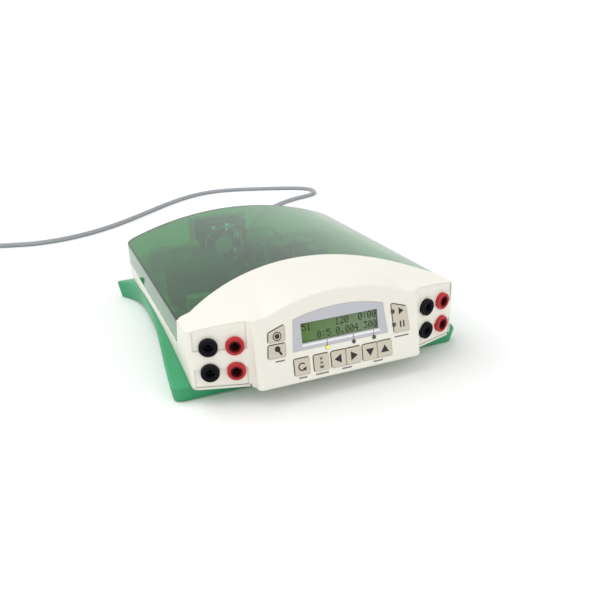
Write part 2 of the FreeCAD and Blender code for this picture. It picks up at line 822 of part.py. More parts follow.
def key_solid(name):
    """One key in the console's frame."""
    points = KEYS[name]
    cap = slab([(x, y, KEY_CORNER_R) for x, y in points], -WALL - KEY_SEAT, KEY_PROUD)
    rim = edges_where(cap, lambda p: abs(p.z - KEY_PROUD) < 0.001)
    cap = cap.makeFillet(KEY_RIM_R, rim)
    xs = [p[0] for p in points]
    ys = [p[1] for p in points]
    flange = box((min(xs) + KEY_CORNER_R, max(xs) - KEY_CORNER_R),
                 (min(ys) - KEY_FLANGE_LAP, max(ys) + KEY_FLANGE_LAP),
                 (-KEY_BACK, -WALL - KEY_SEAT))
    x, y = centre_of(points)
    stem_end = SWITCH_TOP + STEM_DEPTH
    stem = rod(KEY_STEM_R, stem_end - KEY_BACK, (x, y, -stem_end))
    solid = join([cap, flange, stem])
    if name == "key_run_pause":
        solid = solid.cut(group(lamp_rods(RUN_LAMPS, LAMP_R + 2 * KEY_GAP, -BOARD_DEPTH, KEY_PROUD + 1)))
    return solid


def key_openings():
    """Cutters for the key openings, one for each key, so neighbours share one window."""
    cutters = []
    for points in KEYS.values():
        corners = [(x, y, KEY_CORNER_R + KEY_GAP) for x, y in grown(points, KEY_GAP)]
        cutters.append(slab(corners, -WALL - PAST, PAST))
    for pair in (CURSORS, VALUES):
        middle = (pair[0][1] + pair[1][0]) / 2
        cutters.append(box((middle - 2, middle + 2), (KEY_LOW - KEY_GAP, KEY_HIGH + KEY_GAP),
                           (-WALL - PAST, PAST)))
    return cutters


def bezel_wire(gap=0.0):
    """Outline of the display bezel, with its arched top."""
    low = BEZEL_LOW - gap
    high = BEZEL_HIGH + gap
    a, b = BEZEL_HALF_LOW + gap, BEZEL_HALF_HIGH + gap
    corners = [Vector(-b, high, 0), Vector(-a, low, 0), Vector(a, low, 0), Vector(b, high, 0)]
    edges = [Part.makeLine(p, q) for p, q in zip(corners, corners[1:])]
    edges.append(Part.Arc(corners[-1], Vector(0, high + BEZEL_ARCH, 0), corners[0]).toShape())
    return Part.Wire(edges)


def bezel_plate(gap, low, high):
    """Plate of the bezel's outline between two heights."""
    face = Part.Face(bezel_wire(gap))
    face.translate(Vector(0, 0, low))
    return face.extrude(Vector(0, 0, high - low))


def view_block(margin, low, high):
    """Block over the part of the display that shows, with a margin."""
    return box((-VIEW_HALF - margin, VIEW_HALF + margin), (VIEW_LOW - margin, VIEW_HIGH + margin),
               (low, high))


def board_bosses():
    """Four bosses behind the console that the keypad board is screwed to."""
    bosses = []
    for x in (-BOSS_X, BOSS_X):
        for v in (BOSS_LOW, BOSS_HIGH):
            bosses.append(rod(BOSS_R, BOARD_DEPTH - WALL + 0.5, (x, v, -BOARD_DEPTH)))
    return bosses


def front_fascia():
    """White front: crown, wings and console in one moulding."""
    back = SEAM_MID_Y + 40
    outer = fascia_body(0.0, back, CONSOLE_BOTTOM_Z, 0.0)
    outer = outer.common(hull(0.0, CONSOLE_BOTTOM_Z))
    low_front = edges_where(outer,
                            lambda p: abs(p.z - CONSOLE_BOTTOM_Z) < 0.01 and p.y < CONSOLE_FRONT_Y + 1
                            and abs(p.x) < CONSOLE_HALF - CONSOLE_BLEND - 1)
    outer = outer.makeFillet(NOSE_EDGE_R, low_front)
    top_front = edges_where(outer,
                            lambda p: abs(p.x) < CONSOLE_HALF - CONSOLE_BLEND / 4 and p.y < WING_INNER_Y + CONSOLE_BLEND
                            and abs(p.z - crown_height(p.x, p.y)) < 0.1)
    outer = outer.makeFillet(TOP_EDGE_R, top_front)
    inner = fascia_body(WALL, back + 10, 0.0, WALL).common(hull(WALL, 0.0))
    floor = box((-CONSOLE_HALF - 2, CONSOLE_HALF + 2), (FAR_FRONT_Y, CONSOLE_BACK_Y),
                (-10, CONSOLE_BOTTOM_Z + WALL))
    shell = outer.cut(inner.cut(floor)).common(seam_front())
    for side in (-1, 1):
        x = sorted((side * (CONSOLE_HALF + 2), side * (HALF + 10)))
        shell = shell.cut(box(x, (FAR_FRONT_Y, 0), (0, WING_BOTTOM_Z)))
    back_floor = box((-CONSOLE_HALF - 3, CONSOLE_HALF + 3), (CONSOLE_BACK_Y, 0), (0, WING_BOTTOM_Z))
    shell = shell.cut(back_floor)
    cutters = []
    for side in (-1, 1):
        place = wing_frame(side)
        far = (HALF - CHEEK_WIDTH - SOCKET_INNER_X) / WING_COS
        near = (CONSOLE_HALF + CONSOLE_BLEND - SOCKET_INNER_X) / WING_COS
        x = sorted((side * near, side * far))
        cutters.append(put(box(x, (BAND_HIGH_Z, CEILING_Z), (-WING_STEP, 20)), place))
        cutters.append(put(box(x, (0, BAND_LOW_Z), (-WING_STEP, 20)), place))
    for _, place, _ in SOCKETS:
        cutters.append(put(rod(SOCKET_HEAD_R + HOLE_CLEARANCE, 20, (0, 0, -WING_STEP)), place))
        cutters.append(put(rod(SOCKET_BODY_R + HOLE_CLEARANCE, 20, (0, 0, -10)), place))
    face = key_openings()
    face.append(bezel_plate(HOLE_CLEARANCE, -BEZEL_THICK, PAST))
    face.append(view_block(WINDOW_MARGIN, -WALL - PAST, PAST))
    face += lamp_rods(OUTPUT_LAMPS + RUN_LAMPS, LAMP_R + HOLE_CLEARANCE, -WALL - PAST, PAST)
    cutters += [put(cutter, CONSOLE_FRAME) for cutter in face]
    shell = shell.cut(group(cutters))
    bosses = [put(boss, CONSOLE_FRAME) for boss in board_bosses()]
    return join([shell] + bosses)


# Cover and lower shell

TUB_FLOOR_Z = TUB_BOTTOM_Z + WALL
BOARD_TOP_Z = BOARD_Z + BOARD_THICK
PANEL_BACK_Y = REAR_WALL_Y

def rear_windows(margin, y):
    """The two openings in the rear wall as one L-shaped block, wider by a margin."""
    fan = box((FAN_X - FAN_WINDOW_HALF - margin, FAN_X + FAN_WINDOW_HALF + margin), y,
              (WINDOW_LOW_Z - margin, FAN_WINDOW_TOP_Z + margin))
    low = box((FAN_X, LOW_WINDOW_RIGHT + margin), y, (WINDOW_LOW_Z - margin, LOW_WINDOW_TOP_Z + margin))
    return fan.fuse(low)


def latch_slots(gap=0.0):
    """Small latch slots in both side walls at the cover's lower edge."""
    slots = []
    for side in (-1, 1):
        x = sorted((side * (HALF - WALL - 1), side * (HALF + 1)))
        slots.append(box(x, (LATCH_Y - gap, LATCH_Y + LATCH_LENGTH + gap),
                         (LATCH_Z - gap, LATCH_Z + LATCH_HEIGHT + gap)))
    return group(slots)


def top_cover():
    """Translucent cover: the arch, both upper sides and the upper rear wall, up to the crescent seam."""
    shell = hull(0.0, SHELL_BOTTOM_Z, rounded=True).cut(hull(WALL, SHELL_BOTTOM_Z - 1))
    shell = shell.cut(below(PARTING_Z)).cut(seam_front(SEAM_GAP))
    return shell.cut(rear_windows(0.0, (REAR_WALL_Y - 1, BODY_BACK_Y + 1))).cut(latch_slots())


def floor_plan(inset):
    """Corners of the lower shell's floor, open in front where the console stands."""
    half = HALF - SHELL_TAPER - inset
    throat = CONSOLE_HALF + THROAT_MARGIN
    depth = WING_STEP + inset
    back = BODY_BACK_Y - inset
    right = [(throat, CONSOLE_BACK_Y + SHELL_GAP, 0), (throat, wing_y(throat, depth), 0),
             (half, wing_y(half, depth), WING_CORNER_R), (half, back, BACK_CORNER_R - inset)]
    return right + [(-x, y, r) for x, y, r in reversed(right)]


def tub(inset, low, high):
    """Rectangular tub under the floor."""
    middle = (TUB_FRONT_Y + TUB_BACK_Y) / 2
    return slab(block(TUB_HALF - inset, (TUB_BACK_Y - TUB_FRONT_Y) / 2 - inset, TUB_CORNER_R - inset,
                      (0, middle)),
                low, high)


def lower_shell():
    """White lower shell: side and rear walls, a floor that drops into a tub, and a tongue for the cover."""
    walls = hull(0.0, SHELL_BOTTOM_Z).common(below(PARTING_Z)).cut(hull(WALL, SHELL_BOTTOM_Z - 1))
    tongue = hull(WALL + TONGUE_GAP,
                  SHELL_BOTTOM_Z).cut(hull(WALL + TONGUE_GAP + TONGUE_THICK, SHELL_BOTTOM_Z - 1))
    tongue = tongue.common(below(PARTING_Z + TONGUE_HEIGHT)).cut(below(PARTING_Z - 2 * TONGUE_HEIGHT))
    bridge = hull(WALL / 2, SHELL_BOTTOM_Z).cut(hull(WALL + TONGUE_GAP + TONGUE_THICK, SHELL_BOTTOM_Z - 1))
    bridge = bridge.common(below(PARTING_Z - TONGUE_GAP)).cut(below(PARTING_Z - 2 * TONGUE_HEIGHT))
    panel = (PANEL_BACK_Y - PANEL_THICK - SHELL_GAP, PANEL_BACK_Y)
    tongue = tongue.fuse(bridge).cut(rear_windows(PANEL_LAP + SHELL_GAP, panel))
    walls = walls.fuse(tongue).cut(seam_front(SEAM_GAP))
    walls = walls.cut(rear_windows(0.0, (REAR_WALL_Y - 5, BODY_BACK_Y + 1)))
    floor = slab(floor_plan(0.0), SHELL_BOTTOM_Z, SHELL_BOTTOM_Z + FLOOR_THICK)
    bowl = tub(0.0, TUB_BOTTOM_Z, SHELL_BOTTOM_Z + FLOOR_THICK / 2)
    shell = join([walls, floor, bowl])
    shell = shell.cut(tub(WALL, TUB_FLOOR_Z, SHELL_BOTTOM_Z + FLOOR_THICK + 1))
    top = CASE_SEAT_Z + CASE_SCREW_LENGTH + 1
    bosses = [rod(CASE_BOSS_R, top - SHELL_BOTTOM_Z, (x, y, SHELL_BOTTOM_Z)) for x, y in screw_places()]
    shell = join([shell] + board_standoffs() + bosses)
    holes = [rod(SCREW_R + SHAFT_FIT, top - SHELL_BOTTOM_Z + 1, (x, y, SHELL_BOTTOM_Z - 2)) for x,
             y in screw_places()]
    return shell.cut(group(holes))


def base_side(spread):
    """The flaring side of the base, from the front corner to the back one, moved out by a spread."""
    front = BASE_FRONT_Y - spread + BASE_FRONT_CORNER
    points = [(BASE_FRONT_HALF, front), (BASE_THIGH_HALF, BASE_THIGH_Y), (BASE_WAIST_HALF, BASE_WAIST_Y),
              (BASE_HEEL_HALF, BASE_HEEL_Y), (BASE_BACK_HALF, BASE_BACK_Y - BASE_HEEL_CORNER)]
    curve = Part.BSplineCurve()
    curve.interpolate([Vector(x + spread, y, 0) for x, y in points])
    return curve.toShape()


def base_outline(z):
    """Closed plan of the base at a height, with its rear notch; its sides and front lean out upwards."""
    spread = BASE_LEAN * (z - BASE_BOTTOM_Z)
    side = base_side(spread)
    start, end = (side.valueAt(end) for end in side.ParameterRange)
    way, last = (side.tangentAt(end) for end in side.ParameterRange)
    front = Vector(BASE_FRONT_HALF + spread - BASE_FRONT_CORNER, BASE_FRONT_Y - spread, 0)
    heel = Vector(BASE_BACK_HALF + spread - BASE_HEEL_CORNER / 2, BASE_BACK_Y, 0)
    right = arc_pair(front, Vector(1, 0, 0), start, way) + [side] + arc_pair(end, last, heel, Vector(-1, 0, 0))
    notch = BASE_BACK_Y - BASE_REAR_NOTCH
    rim = [heel, Vector(BASE_REAR_NOTCH_HALF + BASE_REAR_NOTCH, BASE_BACK_Y, 0),
           Vector(BASE_REAR_NOTCH_HALF, notch, 0)]
    right += [Part.makeLine(a, b) for a, b in zip(rim, rim[1:])]
    left = [edge.mirror(Vector(0, 0, 0), Vector(1, 0, 0)) for edge in right]
    front_line = Part.makeLine(front, Vector(-front.x, front.y, 0))
    rear_line = Part.makeLine(rim[-1], Vector(-rim[-1].x, notch, 0))
    plan = Part.Wire(Part.__sortEdges__(right + left + [front_line, rear_line]))
    plan.translate(Vector(0, 0, z))
    return plan


def base_crown(wide):
    """Drum whose upper side is the base's top, highest between front and back."""
    front = Vector(0, BASE_FRONT_Y, BASE_TOP_FRONT_Z)
    middle = Vector(0, BASE_MIDDLE_Y, BASE_TOP_MIDDLE_Z)
    back = Vector(0, BASE_BACK_Y, BASE_TOP_BACK_Z)
    ridge = Part.Arc(front, middle, back).toShape().Curve
    drum = Part.makeCylinder(ridge.Radius, wide, ridge.Center - Vector(wide / 2, 0, 0), Vector(1, 0, 0))
    return drum, ridge


def base_frame():
    """Green base: a flared ring under the case, arched between its front and rear feet."""
    wide = 2 * BASE_FRONT_HALF + 100
    ring = Part.makeLoft([base_outline(BASE_BOTTOM_Z), base_outline(BASE_TOP_MIDDLE_Z + PAST)], True, True)
    drum, ridge = base_crown(wide)
    ring = ring.common(drum)
    rim = edges_where(ring, lambda p: abs(p.distanceToPoint(Vector(p.x, ridge.Center.y, ridge.Center.z))
                                          - ridge.Radius) < 0.05
                      and (abs(p.x) > BASE_REAR_NOTCH_HALF + BASE_REAR_NOTCH or p.y < 0))
    ring = ring.makeFillet(BASE_EDGE_R, rim)
    arch_length = BASE_ARCH_TO_Y - BASE_ARCH_FROM_Y
    middle = Vector(0, (BASE_ARCH_FROM_Y + BASE_ARCH_TO_Y) / 2, BASE_BOTTOM_Z + BASE_ARCH_RISE)
    ends = [Vector(0, BASE_ARCH_FROM_Y, BASE_BOTTOM_Z), Vector(0, BASE_ARCH_TO_Y, BASE_BOTTOM_Z)]
    arch = Part.Wire([Part.Arc(ends[0], middle, ends[1]).toShape(), Part.makeLine(ends[1], ends[0])])
    arch = Part.Face(arch).extrude(Vector(wide, 0, 0))
    arch.translate(Vector(-wide / 2, 0, 0))
    ring = ring.cut(arch).cut(box((-TUB_HALF - SHELL_GAP, TUB_HALF + SHELL_GAP),
                                  (TUB_FRONT_Y - SHELL_GAP, TUB_BACK_Y + SHELL_GAP), (-1, CEILING_Z)))
    seat = hull(-SHELL_GAP, SHELL_BOTTOM_Z)
    ring = ring.cut(seat)
    for x, y in pad_places():
        ring = ring.cut(rod(PAD_R + HOLE_CLEARANCE, PAD_THICK + 1, (x, y, -1)))
    for x, y in screw_places():
        ring = ring.cut(rod(SCREW_R + HOLE_CLEARANCE, CEILING_Z, (x, y, -1)))
        ring = ring.cut(rod(SCREW_HEAD_R + HOLE_CLEARANCE, CASE_SEAT_Z + 1, (x, y, -1)))
    return ring


def pad_places():
    """Centres of the four rubber pads."""
    return [(x, y) for x in (-PAD_X, PAD_X) for y in (PAD_FRONT_Y, PAD_BACK_Y)]


def foot_pads():
    """Four rubber pads sunk into the base."""
    return group(rod(PAD_R, PAD_THICK, (x, y, 0)) for x, y in pad_places())


# Display, lamps and the keypad's board


def display_bezel():
    """Grey plate round the display, flush with the console."""
    plate = bezel_plate(0.0, -BEZEL_THICK, 0.0)
    plate = plate.cut(group(lamp_rods(OUTPUT_LAMPS, LAMP_R + HOLE_CLEARANCE, -PAST, PAST)))
    return put(plate.cut(view_block(0.0, -PAST, PAST)), CONSOLE_FRAME)


def display_window():
    """Clear window behind the bezel."""
    margin = WINDOW_MARGIN - HOLE_CLEARANCE
    return put(view_block(margin, -BEZEL_THICK - WINDOW_THICK, -BEZEL_THICK), CONSOLE_FRAME)


def lcd_module():
    """Display module between the window and the keypad's board, its glass let into the front."""
    front = -WALL - LCD_GAP
    body = box((-LCD_HALF, LCD_HALF), (LCD_LOW, LCD_HIGH), (-BOARD_DEPTH, front))
    glass = view_block(GLASS_MARGIN, front - LCD_GLASS, front)
    return group(put(solid, CONSOLE_FRAME) for solid in (body.cut(glass), glass))


def indicator_lamps():
    """Small lamps that stand on the board and just reach through the console."""
    rods = lamp_rods(OUTPUT_LAMPS + RUN_LAMPS, LAMP_R, -BOARD_DEPTH, LAMP_POP)
    return group(put(lamp, CONSOLE_FRAME) for lamp in rods)


def keypad_board():
    """Board behind the console, screwed to its bosses."""
    half = BOSS_X + BOSS_R
    board = box((-half, half), (BOSS_LOW - BOSS_R, LCD_HIGH + 2),
                (-BOARD_DEPTH - BOARD_THICK, -BOARD_DEPTH))
    return put(board, CONSOLE_FRAME)


def key_switches():
    """Switch bodies on the board, each bored for its key's stem."""
    bodies = []
    for points in KEYS.values():
        x, y = centre_of(points)
        body = slab(block(SWITCH_SIZE / 2, SWITCH_SIZE / 2, KEY_SWITCH_CORNER_R, (x, y)), -BOARD_DEPTH,
                    -SWITCH_TOP)
        body = body.cut(rod(KEY_STEM_R + STEM_FIT, SWITCH_HEIGHT, (x, y, -BOARD_DEPTH + SWITCH_FLOOR)))
        bodies.append(put(body, CONSOLE_FRAME))
    return group(bodies)


# Output sockets


def socket_shroud():
    """Insulating shroud of an output socket, with its funnel mouth."""
    head = rod(SOCKET_HEAD_R, SOCKET_HEAD + WING_STEP, (0, 0, -WING_STEP))
    head = head.makeFillet(SOCKET_RIM_R, edges_where(head, lambda p: abs(p.z - SOCKET_HEAD) < 0.01))
    body = rod(SOCKET_BODY_R, SOCKET_LENGTH, (0, 0, -SOCKET_LENGTH))
    funnel = Part.makeCone(SOCKET_BORE_R, SOCKET_MOUTH_R, SOCKET_FUNNEL,
                           Vector(0, 0, SOCKET_HEAD - SOCKET_FUNNEL))
    bore = rod(SOCKET_BORE_R, SOCKET_BORE_DEPTH, (0, 0, SOCKET_HEAD - SOCKET_BORE_DEPTH))
    tail = rod(CONTACT_SHANK_R, SOCKET_LENGTH, (0, 0, -SOCKET_LENGTH))
    return head.fuse(body).cut(group([funnel.fuse(bore)])).cut(tail)


def socket_contact():
    """Contact tube in the middle of a socket, with its solder tail."""
    mouth = SOCKET_HEAD - CONTACT_RECESS
    floor = SOCKET_HEAD - SOCKET_BORE_DEPTH
    tube_part = rod(CONTACT_R, mouth - floor, (0, 0, floor))
    tail = rod(CONTACT_SHANK_R - HOLE_CLEARANCE / 4, floor + SOCKET_LENGTH + CONTACT_TAIL,
               (0, 0, -SOCKET_LENGTH - CONTACT_TAIL))
    return tube_part.fuse(tail).cut(rod(CONTACT_BORE_R, CONTACT_BORE_DEPTH,
                                        (0, 0, mouth - CONTACT_BORE_DEPTH)))


def socket_nut():
    """Hexagonal nut that clamps a socket from behind the wing."""
    radius = NUT_ACROSS / 2 / math.cos(math.radians(30))
    corners = [(radius * math.cos(math.radians(60 * i)), radius * math.sin(math.radians(60 * i)),
                0) for i in range(6)]
    nut = slab(corners, -WALL - NUT_THICK, -WALL)
    return nut.cut(rod(SOCKET_BODY_R + PIVOT_FIT, 40, (0, 0, -20)))


# Rear panel and what it carries, each drawn in a frame that looks at the panel from behind



def rear_frame(x, z):
    """Frame on the rear panel's outer face."""
    return frame((x, PANEL_BACK_Y, z), (-1, 0, 0), (0, 0, 1))


FAN_FRAME = rear_frame(FAN_X, FAN_Z)
INLET_FRAME = rear_frame(INLET_X, INLET_Z)
FUSE_FRAME = rear_frame(FUSE_X, INLET_Z)
SWITCH_FRAME = rear_frame(SWITCH_X, INLET_Z)


def fan_holes():
    """Centres of the fan's four screws in its frame."""
    half = FAN_HOLE_PITCH / 2
    return [(x, y) for x in (-half, half) for y in (-half, half)]


def grille_slots():
    """Ring-shaped slots in front of the fan, held together by four bars."""
    slots = []
    for i in range(GRILLE_RINGS):
        inner = GRILLE_FIRST_R + GRILLE_PITCH * i
        slots.append(rod(inner + GRILLE_SLOT, 4, (0, 0, -3)).cut(rod(inner, 6, (0, 0, -4))))
    bar = GRILLE_SLOT / 2
    long = FAN_SIZE
    bars = [box((-long, long), (-bar, bar), (-PAST, PAST)), box((-bar, bar), (-long, long), (-PAST, PAST))]
    return group(slots).cut(group(bars))


def rear_panel():
    """Steel panel behind the rear window, with the fan's grille and three cut-outs."""
    panel = rear_windows(PANEL_LAP, (PANEL_BACK_Y - PANEL_THICK, PANEL_BACK_Y)).removeSplitter()
    cuts = [put(grille_slots(), FAN_FRAME)]
    for x, y in fan_holes():
        cuts.append(put(rod(SCREW_R + HOLE_CLEARANCE, 2 * PAST, (x, y, -PAST)), FAN_FRAME))
    half = INLET_SCREW_SPAN / 2
    for x in (-half, half):
        cuts.append(put(rod(SCREW_R + HOLE_CLEARANCE, 2 * PAST, (x, 0, -PAST)), INLET_FRAME))
    gap = HOLE_CLEARANCE
    cuts.append(put(slab(block(INLET_BODY_W / 2 + gap, INLET_BODY_H / 2 + gap, INLET_CORNER_R), -PAST,
                         PAST), INLET_FRAME))
    cuts.append(put(slab(block(FUSE_W / 2 + FUSE_WALL + gap, FUSE_H / 2 + FUSE_WALL + gap, FUSE_CORNER_R),
                         -PAST, PAST), FUSE_FRAME))
    half_w = ROCKER_W / 2 + ROCKER_GAP + ROCKER_WALL + gap
    half_h = ROCKER_R + ROCKER_GAP + ROCKER_WALL + gap
    cuts.append(put(slab(block(half_w, half_h, ROCKER_CORNER_R), -PAST, PAST), SWITCH_FRAME))
    return panel.cut(group(cuts))


def fan_frame():
    """Square fan frame: two flanges, a round barrel and a motor disc on four struts."""
    outer = -PANEL_THICK
    inner = outer - FAN_DEPTH
    half = FAN_SIZE / 2
    plan = block(half, half, FAN_CORNER_R)
    body = join([slab(plan, outer - FAN_FLANGE, outer), slab(plan, inner, inner + FAN_FLANGE),
                 rod(half, FAN_DEPTH, (0, 0, inner))])
    body = body.cut(rod(FAN_BORE_R, FAN_DEPTH + 2, (0, 0, inner - 1)))
    disc = rod(FAN_HUB_R, FAN_FLANGE, (0, 0, inner))
    strut = box((-FAN_STRUT / 2, FAN_STRUT / 2), (-FAN_BORE_R - 1, FAN_BORE_R + 1),
                (inner, inner + FAN_FLANGE))
    struts = []
    for turn in (45, 135):
        turned = strut.copy()
        turned.rotate(Vector(0, 0, 0), Vector(0, 0, 1), turn)
        struts.append(turned)
    body = join([body, disc] + struts)
    body = body.cut(rod(FAN_SHAFT_R + SHAFT_FIT, FAN_DEPTH, (0, 0, inner - 1)))
    for x, y in fan_holes():
        body = body.cut(rod(SCREW_R + SHAFT_FIT, FAN_DEPTH + 2, (x, y, inner - 1)))
    return put(body, FAN_FRAME)


def fan_rotor():
    """Hub with its shaft and swept blades."""
    outer = -PANEL_THICK - FAN_FLANGE
    inner = -PANEL_THICK - FAN_DEPTH + FAN_FLANGE + FAN_RUN_GAP
    hub = rod(FAN_HUB_R, outer - inner, (0, 0, inner))
    shaft = rod(FAN_SHAFT_R, FAN_FLANGE + FAN_RUN_GAP + 1, (0, 0, inner - FAN_FLANGE - FAN_RUN_GAP))
    blade = box((-FAN_BLADE_CHORD / 2, FAN_BLADE_CHORD / 2), (FAN_HUB_R - 2, FAN_BLADE_R + 2),
                (-FAN_BLADE_THICK / 2, FAN_BLADE_THICK / 2))
    blade.rotate(Vector(0, 0, 0), Vector(0, 1, 0), FAN_BLADE_TILT)
    blade.translate(Vector(0, 0, (outer + inner) / 2))
    reach = rod(FAN_BLADE_R, outer - inner, (0, 0, inner))
    blade = blade.common(reach)
    blades = []
    for i in range(FAN_BLADES):
        turned = blade.copy()
        turned.rotate(Vector(0, 0, 0), Vector(0, 0, 1), 360.0 * i / FAN_BLADES)
        blades.append(turned)
    return put(join([hub, shaft] + blades), FAN_FRAME)


def screw(length):
    """Pan-head screw along Z, its head on the XY plane."""
    head = rod(SCREW_HEAD_R, SCREW_HEAD)
    head = head.makeFillet(SCREW_HEAD / 2, edges_where(head, lambda p: abs(p.z - SCREW_HEAD) < 0.01))
    slot = box((-SCREW_SLOT / 2, SCREW_SLOT / 2),
               (-SCREW_HEAD_R * SCREW_SLOT_REACH, SCREW_HEAD_R * SCREW_SLOT_REACH), (SCREW_HEAD / 2,
                                                                                     SCREW_HEAD + 1))
    cross = slot.copy()
    cross.rotate(Vector(0, 0, 0), Vector(0, 0, 1), 90)
    return head.fuse(rod(SCREW_R, length, (0, 0, -length))).cut(slot).cut(cross)


def panel_screws():
    """Screws of the fan and of the mains inlet, one solid each."""
    screws = []
    for x, y in fan_holes():
        one = screw(FAN_SCREW_LENGTH)
        one.translate(Vector(x, y, 0))
        screws.append(put(one, FAN_FRAME))
    for side in (-1, 1):
        one = screw(INLET_SCREW_LENGTH)
        one.translate(Vector(side * INLET_SCREW_SPAN / 2, 0, INLET_FLANGE_T))
        screws.append(put(one, INLET_FRAME))
    return screws


def pin_places():
    """Centres of the inlet's three pins."""
    return [(-PIN_SPAN, -PIN_RISE), (0, PIN_RISE), (PIN_SPAN, -PIN_RISE)]


def inlet_pins():
    """Three pins of the mains inlet, with solder tabs behind."""
    floor = INLET_FLANGE_T - INLET_SOCKET_DEPTH
    pins = []
    for x, y in pin_places():
        pin = box((x - PIN_W / 2, x + PIN_W / 2), (y - PIN_H / 2, y + PIN_H / 2),
                  (-INLET_BODY_DEPTH - TAB_LENGTH, floor + PIN_LENGTH))
        pins.append(put(pin, INLET_FRAME))
    return group(pins)


def mains_inlet():
    """Mains inlet: flange, recess for the connector and room for its pins."""
    flange = slab(block(INLET_FLANGE_W / 2, INLET_FLANGE_H / 2, INLET_FLANGE_R), 0, INLET_FLANGE_T)
    body = slab(block(INLET_BODY_W / 2, INLET_BODY_H / 2, INLET_CORNER_R), -INLET_BODY_DEPTH, 0)
    recess = slab(block(INLET_SOCKET_W / 2, INLET_SOCKET_H / 2, INLET_CORNER_R),
                  INLET_FLANGE_T - INLET_SOCKET_DEPTH, PAST)
    inlet = flange.fuse(body).removeSplitter().cut(recess)
    for side in (-1, 1):
        inlet = inlet.cut(rod(SCREW_R + HOLE_CLEARANCE, 2 * PAST, (side * INLET_SCREW_SPAN / 2, 0, -PAST)))
    return put(inlet, INLET_FRAME).cut(inlet_pins())


def fuse_holder():
    """Housing of the fuse drawer, with a lip on the panel."""
    half_w, half_h = FUSE_W / 2, FUSE_H / 2
    body = slab(block(half_w + FUSE_WALL, half_h + FUSE_WALL, FUSE_CORNER_R), -FUSE_DEPTH - FUSE_WALL, 0)
    lip = slab(block(half_w + FUSE_WALL + FUSE_LIP, half_h + FUSE_WALL + FUSE_LIP / 2, FUSE_LIP_R), 0,
               FUSE_FLANGE)
    holder = body.fuse(lip).removeSplitter()
    return put(holder.cut(slab(block(half_w, half_h, FUSE_BORE_R), -FUSE_DEPTH, PAST)), FUSE_FRAME)


def fuse_drawer():
    """Drawer that slides out of its holder, open above its two cartridges."""
    half_w, half_h = FUSE_W / 2 - FUSE_FIT, FUSE_H / 2 - FUSE_FIT
    front = FUSE_FLANGE + FUSE_FIT
    tray = slab(block(half_w, half_h, FUSE_TRAY_R), -FUSE_DEPTH + FUSE_FIT, front)
    face = slab(block(FUSE_W / 2 + FUSE_WALL, FUSE_H / 2 + FUSE_WALL / 2, FUSE_LIP_R), front,
                front + FUSE_FACE)
    grip = slab(block(FUSE_W / 4, FUSE_WALL / 2, FUSE_GRIP_R, (0, -FUSE_H / 4)), front + FUSE_FACE,
                front + FUSE_FACE + FUSE_WALL)
    drawer = join([tray, face, grip])
    for x in cartridge_places():
        bed = CARTRIDGE_R + HOLE_CLEARANCE / 2
        low, high = cartridge_span()
        gap = HOLE_CLEARANCE / 2
        drawer = drawer.cut(rod(bed, high - low + 2 * gap, (x, 0, low - gap)))
        drawer = drawer.cut(box((x - bed, x + bed), (0, FUSE_H), (low - gap, high + gap)))
    return put(drawer, FUSE_FRAME)


def cartridge_places():
    """Both fuse cartridges' places across the drawer."""
    return (-FUSE_W / 4, FUSE_W / 4)


def cartridge_span():
    """Where the cartridges start and end along the drawer."""
    middle = -FUSE_DEPTH / 2
    return middle - CARTRIDGE_LENGTH / 2, middle + CARTRIDGE_LENGTH / 2


def fuse_cartridges():
    """Two fuse cartridges in the drawer."""
    low, high = cartridge_span()
    return group(put(rod(CARTRIDGE_R, high - low, (x, 0, low)), FUSE_FRAME) for x in cartridge_places())


def across_rod(radius, half):
    """Bar along the rocker's pivot."""
    return rod(radius, 2 * half, (-half, 0, -ROCKER_PIVOT_DEPTH), (1, 0, 0))


def power_switch():
    """Housing of the mains switch, bored for the rocker's pivots."""
    half_w = ROCKER_W / 2 + ROCKER_GAP + ROCKER_WALL
    half_h = ROCKER_R + ROCKER_GAP + ROCKER_WALL
    body = slab(block(half_w, half_h, ROCKER_CORNER_R), -ROCKER_BODY_DEPTH, 0)
    lip = slab(block(half_w + SWITCH_LIP, half_h + SWITCH_LIP / 3, ROCKER_LIP_R), 0, ROCKER_FLANGE)
    cavity = across_rod(ROCKER_R + ROCKER_GAP, ROCKER_W / 2 + ROCKER_GAP)
    mouth = box((-ROCKER_W / 2 - ROCKER_GAP, ROCKER_W / 2 + ROCKER_GAP),
                (-ROCKER_R - ROCKER_GAP, ROCKER_R + ROCKER_GAP), (-ROCKER_PIVOT_DEPTH, PAST))
    housing = body.fuse(lip).removeSplitter().cut(cavity.fuse(mouth))
    return put(housing.cut(across_rod(PIVOT_R + PIVOT_FIT, half_w - ROCKER_WALL / 2)), SWITCH_FRAME)


def power_rocker():
    """Rocker with a shallow V face, tilted to its off position at rest."""
    half = ROCKER_W / 2
    crest = ROCKER_FLANGE + ROCKER_PROUD
    rise = ROCKER_R * math.tan(math.radians(ROCKER_TILT))
    corners = [(-ROCKER_R, crest + rise), (-ROCKER_R, -ROCKER_PIVOT_DEPTH - ROCKER_R / 2),
               (ROCKER_R, -ROCKER_PIVOT_DEPTH - ROCKER_R / 2), (ROCKER_R, crest + rise), (0, crest)]
    profile = Part.makePolygon([Vector(-half, y, z) for y, z in corners + corners[:1]])
    rocker = Part.Face(profile).extrude(Vector(ROCKER_W, 0, 0)).common(across_rod(ROCKER_R, half))
    rocker = rocker.fuse(across_rod(PIVOT_R, half + ROCKER_GAP + ROCKER_WALL / 2 - PIVOT_FIT))
    rocker.rotate(Vector(0, 0, -ROCKER_PIVOT_DEPTH), Vector(1, 0, 0), ROCKER_TILT)
    return put(rocker, SWITCH_FRAME)


# Boards and parts inside


